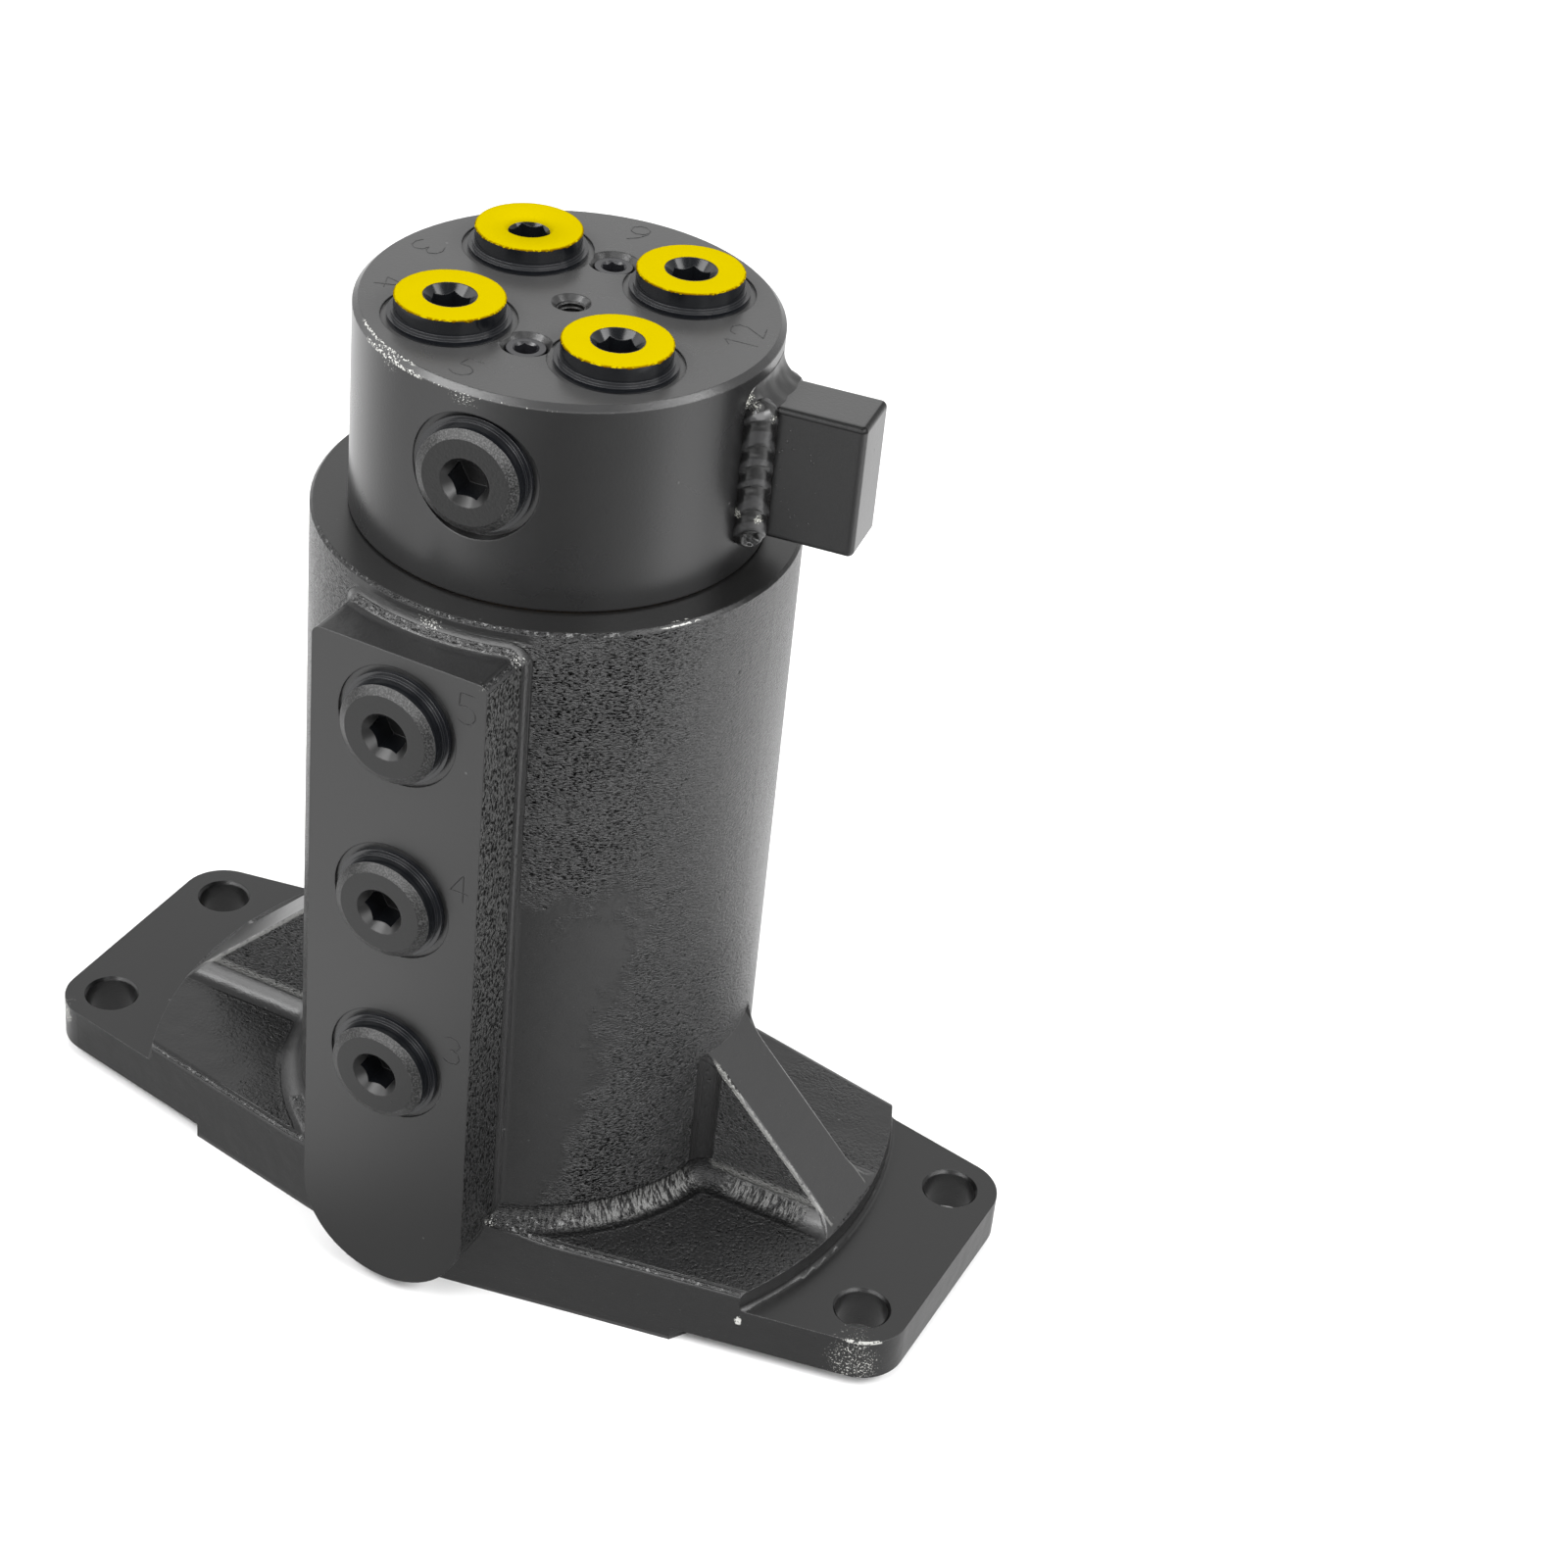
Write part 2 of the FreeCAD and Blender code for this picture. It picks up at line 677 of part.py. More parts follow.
def slip_rings():
    """Seven square rings, each pressed on the spindle by a round cord behind it."""
    outer = f"{BORE} + slip_ring_depth"
    for i in range(LEVELS + 1):
        middle = level(i - 0.5)
        slip_ring = ring(outer, BORE, "slip_ring_width", f"{middle} - slip_ring_width / 2")
        label(slip_ring, f"slip_ring_{i + 1}")
        cord_circle = f"({outer} + {SLIP_GROOVE}) / 2"
        label(torus(cord_circle, "energizer_radius", middle), f"energizer_ring_{i + 1}")


def dust_seal():
    z = "dust_groove_top - dust_seal_width + seal_side_clearance"
    outer = f"{BORE} + dust_seal_depth - seal_side_clearance"
    return label(ring(outer, BORE, "dust_seal_width - 2 * seal_side_clearance", z), "dust_seal")


def thrust_ring():
    flat = ring("thrust_ring_outer", "thrust_ring_inner", "thrust_ring_height", THRUST_SEAT)
    return label(flat, "thrust_ring")


# Lower end

def retaining_washer():
    outer = "chamber_radius - snap_groove_depth / 4"
    return label(ring(outer, BORE, "washer_plate_height", SNAP_RING_TOP), "retaining_washer")


def snap_ring():
    z = f"{SNAP_RING_TOP} - snap_ring_height"
    inner = "shaft_radius - snap_groove_depth"
    closed = ring("snap_ring_outer", f"{inner} + thread_clearance", "snap_ring_height", z)
    gap = block("snap_ring_outer", "snap_ring_gap", "3 * snap_ring_height", 0, "-snap_ring_gap / 2",
                f"{z} - snap_ring_height")
    return label(turned(cut(closed, gap), angle=size("rest_angle")), "snap_ring")


def bottom_cover():
    plate = cylinder("cover_radius", "cover_thickness", z=COVER_FACE)
    spigot = cylinder("chamber_radius - thread_clearance", "cover_spigot_height", z=COVER_SEAT)
    groove = ring("chamber_radius + 1", "chamber_radius - 2 * cover_o_ring_radius - thread_clearance",
                  "2 * cover_o_ring_radius + thread_clearance",
                  f"{COVER_SEAT} + cover_spigot_height / 2 - cover_o_ring_radius - thread_clearance / 2")
    counterbore = "screw_head_radius + screw_hole_clearance"
    tools = screw_holes("screw_radius + screw_hole_clearance", "2 * cover_thickness", COVER_FACE)
    tools += screw_holes(counterbore, "screw_head_height + screw_sink", COVER_FACE)
    return label(cut(fuse(plate, spigot), groove, *tools), "bottom_cover")


def cover_o_ring():
    cord = "cover_o_ring_radius - thread_clearance / 2"
    middle = f"{COVER_SEAT} + cover_spigot_height / 2"
    return label(torus("chamber_radius - cover_o_ring_radius", cord, middle), "cover_o_ring")


def cover_screws():
    for i, angle in enumerate(screw_angles(), 1):
        head_face = f"{SCREW_SEAT} - screw_head_height"
        head = cylinder("screw_head_radius", "screw_head_height", z=head_face)
        shank = cylinder("screw_radius", "screw_length", z=SCREW_SEAT)
        socket = hexagon("screw_hexagon_flats", "screw_hexagon_depth + 1", f"{head_face} - 1")
        screw = turned(cut(fuse(head, shank), socket), size("cover_screw_circle"), angle=angle)
        label(screw, f"cover_screw_{i}")


def check_and_export():
    doc.recompute()
    failed = [item.Name for item in doc.Objects if {"Invalid", "Error"} & set(item.State)]
    if failed:
        raise RuntimeError(f"features failed: {failed}")
    os.makedirs("parts", exist_ok=True)
    for item in parts:
        shape = item.Shape
        if shape.isNull() or not shape.isValid() or not shape.Solids:
            raise RuntimeError(f"{item.Label} has no valid solid")
        shape.exportStep(f"parts/{item.Label}.step")
        print(f"{item.Label}: {len(shape.Solids)} solid, {shape.Volume:.0f} mm3")


housing()
spindle()
stop_lug()
lug_weld()
port_plugs()
taper_plugs()
slip_rings()
dust_seal()
thrust_ring()
retaining_washer()
snap_ring()
bottom_cover()
cover_o_ring()
cover_screws()
check_and_export()
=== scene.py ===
import math

import bpy
from mathutils import Matrix, Vector, noise as mesh_noise


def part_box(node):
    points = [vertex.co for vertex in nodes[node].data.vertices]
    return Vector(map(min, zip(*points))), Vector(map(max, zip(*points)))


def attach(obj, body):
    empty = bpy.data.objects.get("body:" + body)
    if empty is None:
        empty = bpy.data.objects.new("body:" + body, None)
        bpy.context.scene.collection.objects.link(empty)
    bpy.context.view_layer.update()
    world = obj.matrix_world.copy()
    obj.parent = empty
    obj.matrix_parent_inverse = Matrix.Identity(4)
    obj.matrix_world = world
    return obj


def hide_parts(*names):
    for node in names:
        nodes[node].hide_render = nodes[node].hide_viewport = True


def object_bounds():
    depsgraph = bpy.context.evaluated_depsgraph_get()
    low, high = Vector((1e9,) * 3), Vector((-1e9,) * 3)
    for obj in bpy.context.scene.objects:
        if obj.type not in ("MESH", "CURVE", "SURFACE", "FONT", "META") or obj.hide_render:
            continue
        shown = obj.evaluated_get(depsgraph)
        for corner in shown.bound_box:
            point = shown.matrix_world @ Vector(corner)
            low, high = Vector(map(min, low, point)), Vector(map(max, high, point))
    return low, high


# Looks of a small excavator's centre swivel joint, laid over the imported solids.
# Lengths are in metres; MM turns the drawing's millimetres into them.

MM = 0.001
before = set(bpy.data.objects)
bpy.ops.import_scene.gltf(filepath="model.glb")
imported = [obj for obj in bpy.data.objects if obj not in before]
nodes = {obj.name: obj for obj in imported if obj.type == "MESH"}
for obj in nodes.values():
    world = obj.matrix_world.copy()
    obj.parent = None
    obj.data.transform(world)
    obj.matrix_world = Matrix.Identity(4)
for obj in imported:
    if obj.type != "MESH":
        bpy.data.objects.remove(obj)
cad_low, cad_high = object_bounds()

# Driving sizes, as drawn

REST_ANGLE = math.radians(5.1)
LUG_ANGLE = math.radians(7.6)
HEAD_RADIUS = 50.0 * MM
HEAD_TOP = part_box("spindle")[1].z
BARREL_TOP = 194.5 * MM
PAD_FACE = 70.6 * MM
EAR_TOP = 12.0 * MM
EAR_REACH = 127.5 * MM
FLANGE_APEX = 61.7 * MM
FLANGE_SLOPE = (61.7 - 37.0) / 127.5
LUG_WIDTH = 16.4 * MM
LUG_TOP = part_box("stop_lug")[1].z
LUG_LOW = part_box("stop_lug")[0].z
PLUG_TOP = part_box("top_plug_1")[1].z
LIFTING_HOLE_RADIUS, LIFTING_HOLE_DEPTH, LIFTING_PITCH = 3.4 * MM, 16.0 * MM, 1.25 * MM
WELD_RADIUS, WELD_OUT = 4.0 * MM, 1.2 * MM
WELD_LEG, WELD_HOLLOW = 5.0 * MM, 6.5 * MM

# Camera of the photograph

LENS = 77.56
SENSOR = 36.0
AZIMUTH, ELEVATION, ROLL = (math.radians(angle) for angle in (23.37, 34.53, 6.35))
DISTANCE = 859.95 * MM
TARGET = Vector((0, 0, 100 * MM))
PAN_RIGHT, PAN_UP = 62.35 * MM, 10.09 * MM


def new_object(name, data):
    made = bpy.data.objects.new(name, data)
    bpy.context.scene.collection.objects.link(made)
    return made


def new_mesh(name, points, faces, paint=None):
    """A mesh; with a paint it is also smooth."""
    mesh = bpy.data.meshes.new(name)
    mesh.from_pydata(points, [], faces)
    if paint:
        mesh.shade_smooth()
        mesh.materials.append(paint)
    return mesh


def direction(azimuth, elevation):
    """The way from the joint to a place; azimuth 0 is straight in front."""
    return Vector((math.sin(azimuth) * math.cos(elevation),
                   -math.cos(azimuth) * math.cos(elevation), math.sin(elevation)))


def make_camera():
    back = direction(AZIMUTH, ELEVATION)
    level = Vector((math.cos(AZIMUTH), math.sin(AZIMUTH), 0))
    upright = back.cross(level)
    right = math.cos(ROLL) * level + math.sin(ROLL) * upright
    up = math.cos(ROLL) * upright - math.sin(ROLL) * level
    data = bpy.data.cameras.new("camera")
    data.lens, data.sensor_width = LENS, SENSOR
    camera = new_object("camera", data)
    place = TARGET + back * DISTANCE + right * PAN_RIGHT + up * PAN_UP
    turn = Matrix((right, up, back)).transposed().to_4x4()
    camera.matrix_world = Matrix.Translation(place) @ turn
    bpy.context.scene.camera = camera


# Helpers for node trees of both kinds

class Field:
    """A node's output as a value; plain arithmetic on it adds Math nodes."""

    def __init__(self, socket):
        self.socket = socket

    def __add__(self, other):
        return calc("ADD", self, other)

    def __radd__(self, other):
        return calc("ADD", other, self)

    def __sub__(self, other):
        return calc("SUBTRACT", self, other)

    def __rsub__(self, other):
        return calc("SUBTRACT", other, self)

    def __mul__(self, other):
        return calc("MULTIPLY", self, other)

    def __truediv__(self, other):
        return calc("DIVIDE", self, other)

    def __abs__(self):
        return calc("ABSOLUTE", self)


class Outputs:
    """A node's outputs by name or number, each as a field."""

    def __init__(self, node):
        self.node = node

    def __getitem__(self, key):
        return Field(self.node.outputs[key])


def feed(socket, value):
    """Links a field to a socket, or sets a plain value on it."""
    if isinstance(value, Field):
        socket.id_data.links.new(value.socket, socket)
    else:
        socket.default_value = value


def feeds(sockets, **values):
    """Feeds several sockets; an underscore in a name stands for a space."""
    for name, value in values.items():
        feed(sockets[name.replace("_", " ")], value)


def add(tree, kind, inputs=(), **settings):
    """A node with its settings, and its inputs by name or number."""
    made = tree.nodes.new(kind if "Node" in kind else "ShaderNode" + kind)
    for name, value in settings.items():
        setattr(made, name, value)
    for key, value in dict(inputs).items():
        feed(made.inputs[key], value)
    return Outputs(made)


def tree_of(values):
    return next(value.socket.id_data for value in values if isinstance(value, Field))


def calc(operation, *values, clamp=False):
    return add(tree_of(values), "Math", enumerate(values), operation=operation, use_clamp=clamp)[0]


def strongest(*values):
    best = values[0]
    for value in values[1:]:
        best = calc("MAXIMUM", best, value)
    return best


def arrow(operation, *values):
    """A vector operation; a dot product, a length or a distance comes out as a number."""
    keys = (0, "Scale") if operation == "SCALE" else (0, 1)
    made = add(tree_of(values), "VectorMath", zip(keys, values), operation=operation)
    return made["Value" if operation in ("DOT_PRODUCT", "LENGTH", "DISTANCE") else "Vector"]


def parts_of(vector):
    made = add(tree_of([vector]), "SeparateXYZ", {0: vector})
    return made[0], made[1], made[2]


def combined(*parts):
    return add(tree_of(parts), "CombineXYZ", enumerate(parts))[0]


def away_from_axis(x, y):
    return calc("SQRT", x * x + y * y)


def step(value, low, high):
    """0 below low, 1 above high, smooth between."""
    return add(tree_of([value]), "MapRange", {"Value": value, "From Min": low, "From Max": high},
               interpolation_type="SMOOTHSTEP")["Result"]


def band(value, low, high, soft):
    """1 between low and high, 0 outside, with soft ends."""
    return step(value, low - soft, low + soft) * step(value, high + soft, high - soft)


def blend_value(share, first, second):
    return add(tree_of([share]), "Mix", {"Factor": share, "A": first, "B": second}, data_type="FLOAT")[0]


def blend_colour(share, first, second):
    return add(tree_of([share]), "Mix", {0: share, 6: first, 7: second}, data_type="RGBA")[2]


def noise(vector, scale, detail=2.0, roughness=0.5, distortion=0.0, output="Fac"):
    return add(tree_of([vector]), "TexNoise", {
        "Vector": vector, "Scale": scale, "Detail": detail, "Roughness": roughness,
        "Distortion": distortion})[output]


def swing(vector, *settings):
    """A noise that swings about 0."""
    return noise(vector, *settings) - 0.5


def cell_dots(vector, scale, wide, narrow, chance):
    """Round dots in some cells of a grid: full inside narrow, gone beyond wide."""
    cells = add(tree_of([vector]), "TexVoronoi", {"Vector": vector, "Scale": scale})
    chosen = calc("GREATER_THAN", parts_of(cells["Color"])[0], chance)
    return step(cells["Distance"], wide, narrow) * chosen


def stretched(vector, x=1.0, y=1.0, z=1.0):
    return add(tree_of([vector]), "Mapping", {"Vector": vector, "Scale": (x, y, z)})[0]


def grey(value, blue=0.0):
    return (value, value, value * (1 + blue), 1)


SOCKET_KINDS = {float: "Float", int: "Int", tuple: "Vector"}


def new_group(kind, name, inputs, outputs):
    """A new tree. An input is given by its first value, or by its kind where it has none."""
    tree = bpy.data.node_groups.new(name, kind)
    for label, value in inputs.items():
        plain = not isinstance(value, str)
        socket_kind = SOCKET_KINDS[type(value)] if plain else value
        socket = tree.interface.new_socket(label, in_out="INPUT", socket_type="NodeSocket" + socket_kind)
        if plain:
            socket.default_value = value
    for label, socket_kind in outputs.items():
        tree.interface.new_socket(label, in_out="OUTPUT", socket_type="NodeSocket" + socket_kind)
    return tree, Outputs(tree.nodes.new("NodeGroupInput")), tree.nodes.new("NodeGroupOutput").inputs


def use(group_tree, **values):
    """Places a group in a material; an underscore in a name stands for a space."""
    made = tree_of(values.values()).nodes.new("ShaderNodeGroup")
    made.node_tree = group_tree
    feeds(made.inputs, **values)
    return Outputs(made)


# Effects that several finishes share

def make_cast_skin():
    """Sand-cast skin under paint: short level strokes dug into an even ground, and a few pits. Tone is
    painted light and shade of this relief, lighter on the ground and darker in the strokes; Pit marks the
    strokes and pits for painted shade.
    """
    tree, given, out = new_group(
        "ShaderNodeTree", "cast_skin",
        {"Vector": "Vector", "Strength": 1.0, "Relief": 1.0},
        {"Height": "Float", "Tone": "Float", "Pit": "Float"})
    strength = given["Strength"]
    field = noise(stretched(given["Vector"], z=2.8), 1000.0, 2.0, 0.55, 0.5)
    depth = strength * 0.20 + 0.27
    stroke = step(field, depth, depth - 0.08)
    dug = strongest(stroke, cell_dots(given["Vector"], 330.0, 0.20, 0.08, 0.93))
    broad = noise(given["Vector"], 95.0)
    # Tone and Pit paint the relief's light and shade into the colour
    feeds(out, Height=(field - dug) * given["Relief"] + broad * 0.4,
          Tone=blend_value(strength, 0.5, step(field, 0.36, 0.62)), Pit=dug * strength)
    return tree


def make_paint_grain():
    """Fine orange peel of sprayed paint, slow drifts of tone and a few dust nibs."""
    tree, given, out = new_group("ShaderNodeTree", "paint_grain", {"Vector": "Vector"},
                                 {"Height": "Float", "Tone": "Float", "Nib": "Float"})
    nib = cell_dots(given["Vector"], 160.0, 0.075, 0.02, 0.8)
    feeds(out, Height=noise(given["Vector"], 1500.0) + nib * 3.0,
          Tone=noise(given["Vector"], 30.0, 4.0, 0.6), Nib=nib)
    return tree


def make_edge_wear():
    """Where an edge stands out, with the paint rubbed thin in ragged patches."""
    tree, given, out = new_group(
        "ShaderNodeTree", "edge_wear", {"Vector": "Vector", "Width": 0.0005, "Raggedness": 0.5},
        {"Worn": "Float", "Normal": "Vector"})
    rounded = add(tree, "Bevel", {"Radius": given["Width"]}, samples=4)["Normal"]
    turn = arrow("DOT_PRODUCT", rounded, add(tree, "NewGeometry")["Normal"])
    edge = calc("MULTIPLY", 1.0 - turn, 6.0, clamp=True)
    ragged = noise(given["Vector"], 420.0, 5.0, 0.7) - given["Raggedness"]
    feeds(out, Worn=edge * step(ragged, 0.0, 0.12), Normal=rounded)
    return tree


def make_rub():
    """Flecks round one place, where something has scraped the paint off."""
    tree, given, out = new_group(
        "ShaderNodeTree", "rub",
        {"Vector": "Vector", "Centre": "Vector", "Reach": 0.008, "Specks": 0.5, "Share": 0.3,
         "Flatness": 1.0},
        {"Mask": "Float"})
    across, deep, high = parts_of(arrow("SUBTRACT", given["Vector"], given["Centre"]))
    away = arrow("LENGTH", combined(across, deep, high * given["Flatness"]))
    near = step(away / given["Reach"], 1.0, 0.25)
    level = 0.76 - given["Share"] * 0.5 * near
    feeds(out, Mask=step(given["Specks"], level, level + 0.025) * near)
    return tree


def make_ring_scratch():
    """A broken scratch round an axis: at one radius, between two angles in degrees."""
    tree, given, out = new_group(
        "ShaderNodeTree", "ring_scratch",
        {"Angle": 0.0, "Away": 0.0, "Level": 0.0, "Specks": 0.5, "Radius": 0.05, "Width": 0.0003,
         "From": 0.0, "To": 90.0, "Lowest": 0.0, "Gaps": 0.45},
        {"Mask": "Float"})
    angle, start, end, gaps = (given[name] for name in ("Angle", "From", "To", "Gaps"))
    line = calc("LESS_THAN", abs(given["Away"] - given["Radius"]), given["Width"])
    above = calc("GREATER_THAN", given["Level"], given["Lowest"])
    feeds(out, Mask=line * step(angle, start, start + 3.0) * step(angle, end, end - 3.0)
          * above * step(given["Specks"], gaps, gaps + 0.05))
    return tree


def make_flat_zone():
    """1 on a flat face at a given height along a given direction, 0 elsewhere."""
    tree, given, out = new_group(
        "ShaderNodeTree", "flat_zone",
        {"Vector": "Vector", "Normal": "Vector", "Way": (0.0, 0.0, 1.0), "Height": 0.0}, {"Mask": "Float"})
    height = arrow("DOT_PRODUCT", given["Vector"], given["Way"])
    facing = arrow("DOT_PRODUCT", given["Normal"], given["Way"])
    close = calc("LESS_THAN", abs(height - given["Height"]), 0.0002)
    feeds(out, Mask=close * step(facing, 0.9, 0.97))
    return tree


CAST_SKIN = make_cast_skin()
PAINT_GRAIN = make_paint_grain()
EDGE_WEAR = make_edge_wear()
RUB = make_rub()
RING_SCRATCH = make_ring_scratch()
FLAT_ZONE = make_flat_zone()

# Tones of paint and metal, as shares of white

BLACK_PAINT = 0.006
# Painted light: a lighter tone for faces lit from above and for the weld's ripple bands
PAINTED_LIGHT_TONE = 0.030
# Rubbed paint at worn places; the same tone paints the highlights along the rib's crown
RUBBED_AND_HIGHLIGHT_PAINT = 0.11
# Painted highlight for streaks in the root fillets and on the upper flank
FILLET_HIGHLIGHT_PAINT = 0.085
BARE_METAL = 0.42


def material(name):
    made = bpy.data.materials.new(name)
    made.use_nodes = True
    tree = made.node_tree
    return made, tree.nodes["Principled BSDF"].inputs, add(tree, "TexCoord")


def named(*starts):
    return [name for name in nodes if name.startswith(starts)]


def dress(names, made):
    for name in names:
        nodes[name].data.materials.clear()
        nodes[name].data.materials.append(made)


def bump(height, distance, strength=1.0, normal=None):
    inputs = {"Height": height, "Distance": distance, "Strength": strength}
    if normal is not None:
        inputs["Normal"] = normal
    return add(tree_of([height]), "Bump", inputs)["Normal"]


def rubs(where, speck, marks):
    """The strongest of several scraped patches: place and reach in mm, share and flatness."""
    specks = noise(where["Object"], speck, 3.0, 0.6)
    return strongest(*[
        use(RUB, Vector=where["Object"], Centre=tuple(c * MM for c in centre), Reach=reach * MM,
            Specks=specks, Share=share, Flatness=flatness)["Mask"]
        for centre, reach, share, flatness in marks])


def ring_scratches(where, speck, marks):
    """The strongest of several broken scratches: radius, width, two angles, lowest place and gaps."""
    x, y, z = parts_of(where["Object"])
    angle = calc("DEGREES", calc("ARCTAN2", y, x))
    away = away_from_axis(x, y) + swing(where["Object"], 700.0, 3.0) * (1.1 * MM)
    specks = noise(where["Object"], speck, 3.0, 0.6)
    return strongest(*[
        use(RING_SCRATCH, Angle=angle, Away=away, Level=z, Specks=specks, Radius=radius * MM,
            Width=width * MM, From=start, To=end, Lowest=lowest * MM, Gaps=gaps)["Mask"]
        for radius, width, start, end, lowest, gaps in marks])


def painted_metal(name, tone=BLACK_PAINT, roughness=0.28, raggedness=0.56, marks=(), rings=(), peel=0.02,
                  edge=0.5, painted_edge_shade=0.0):
    """Black satin paint over machined metal, rubbed at the edges and at the given marks, with painted light
    on upward faces and, where asked, painted shade on slanted faces.
    """
    made, shader, where = material(name)
    grain = use(PAINT_GRAIN, Vector=where["Object"])
    wear = use(EDGE_WEAR, Vector=where["Object"], Width=edge * MM, Raggedness=raggedness)
    nz = parts_of(where["Normal"])[2]
    shade = blend_colour(grain["Tone"], grey(tone * 0.8, 0.05), grey(tone * 1.2, 0.02))
    # Upward faces are painted lighter: painted light from above
    shade = blend_colour(step(nz, 0.9, 0.97), shade, grey(PAINTED_LIGHT_TONE))
    shade = blend_colour(grain["Nib"] * 0.5, shade, grey(RUBBED_AND_HIGHLIGHT_PAINT))
    shade = blend_colour(wear["Worn"] * 0.4, shade, grey(RUBBED_AND_HIGHLIGHT_PAINT))
    matt = blend_value(grain["Tone"], roughness - 0.05, roughness + 0.05)
    if marks and rings:
        scraped = strongest(rubs(where, 2600.0, marks), ring_scratches(where, 1900.0, rings))
        shade = blend_colour(scraped, shade, grey(BARE_METAL, -0.05))
        matt = blend_value(scraped, matt, 0.6)
    # Slanted faces such as rounded edges are painted near black with Metallic: painted shade in place of
    # their highlights
    if painted_edge_shade:
        slanted = band(nz, 0.12, 0.93, 0.05) * painted_edge_shade
        shade = blend_colour(slanted, shade, grey(0.002))
        feed(shader["Metallic"], slanted)
    feeds(shader, Base_Color=shade, Roughness=matt,
          Normal=bump(grain["Height"], peel * MM, 1.0, wear["Normal"]))
    return made


# Rubbed places of the casting: place and reach in mm, share of bare metal, and flatness

CAST_RUBS = [((119.0, -38.4, 4.6), 12.5, 0.36, 0.8), ((89.2, -44.4, 8.6), 1.5, 0.8, 0.6),
             ((24.0, -57.5, 19.5), 3.2, 0.45, 1.0), ((-122.8, -36.5, 8.8), 6.0, 0.52, 1.0),
             ((1.0, -59.0, 191.2), 6.5, 0.40, 2.0), ((22.8, -56.6, 187.8), 3.6, 0.42, 1.0),
             ((21.0, -70.6, 187.8), 3.0, 0.30, 2.0)]
EAR_RIM_RUB = [((120.5, -37.0, 12.0), 9.5, 0.62, 1.0)]

# Ring scratches: radius and width in mm, two angles in degrees, lowest place in mm, and gaps

BARREL_SCRATCHES = [(58.7, 0.16, -37.0, -26.0, 193.9, 0.42), (57.6, 0.2, -34.0, -28.0, 193.9, 0.46)]


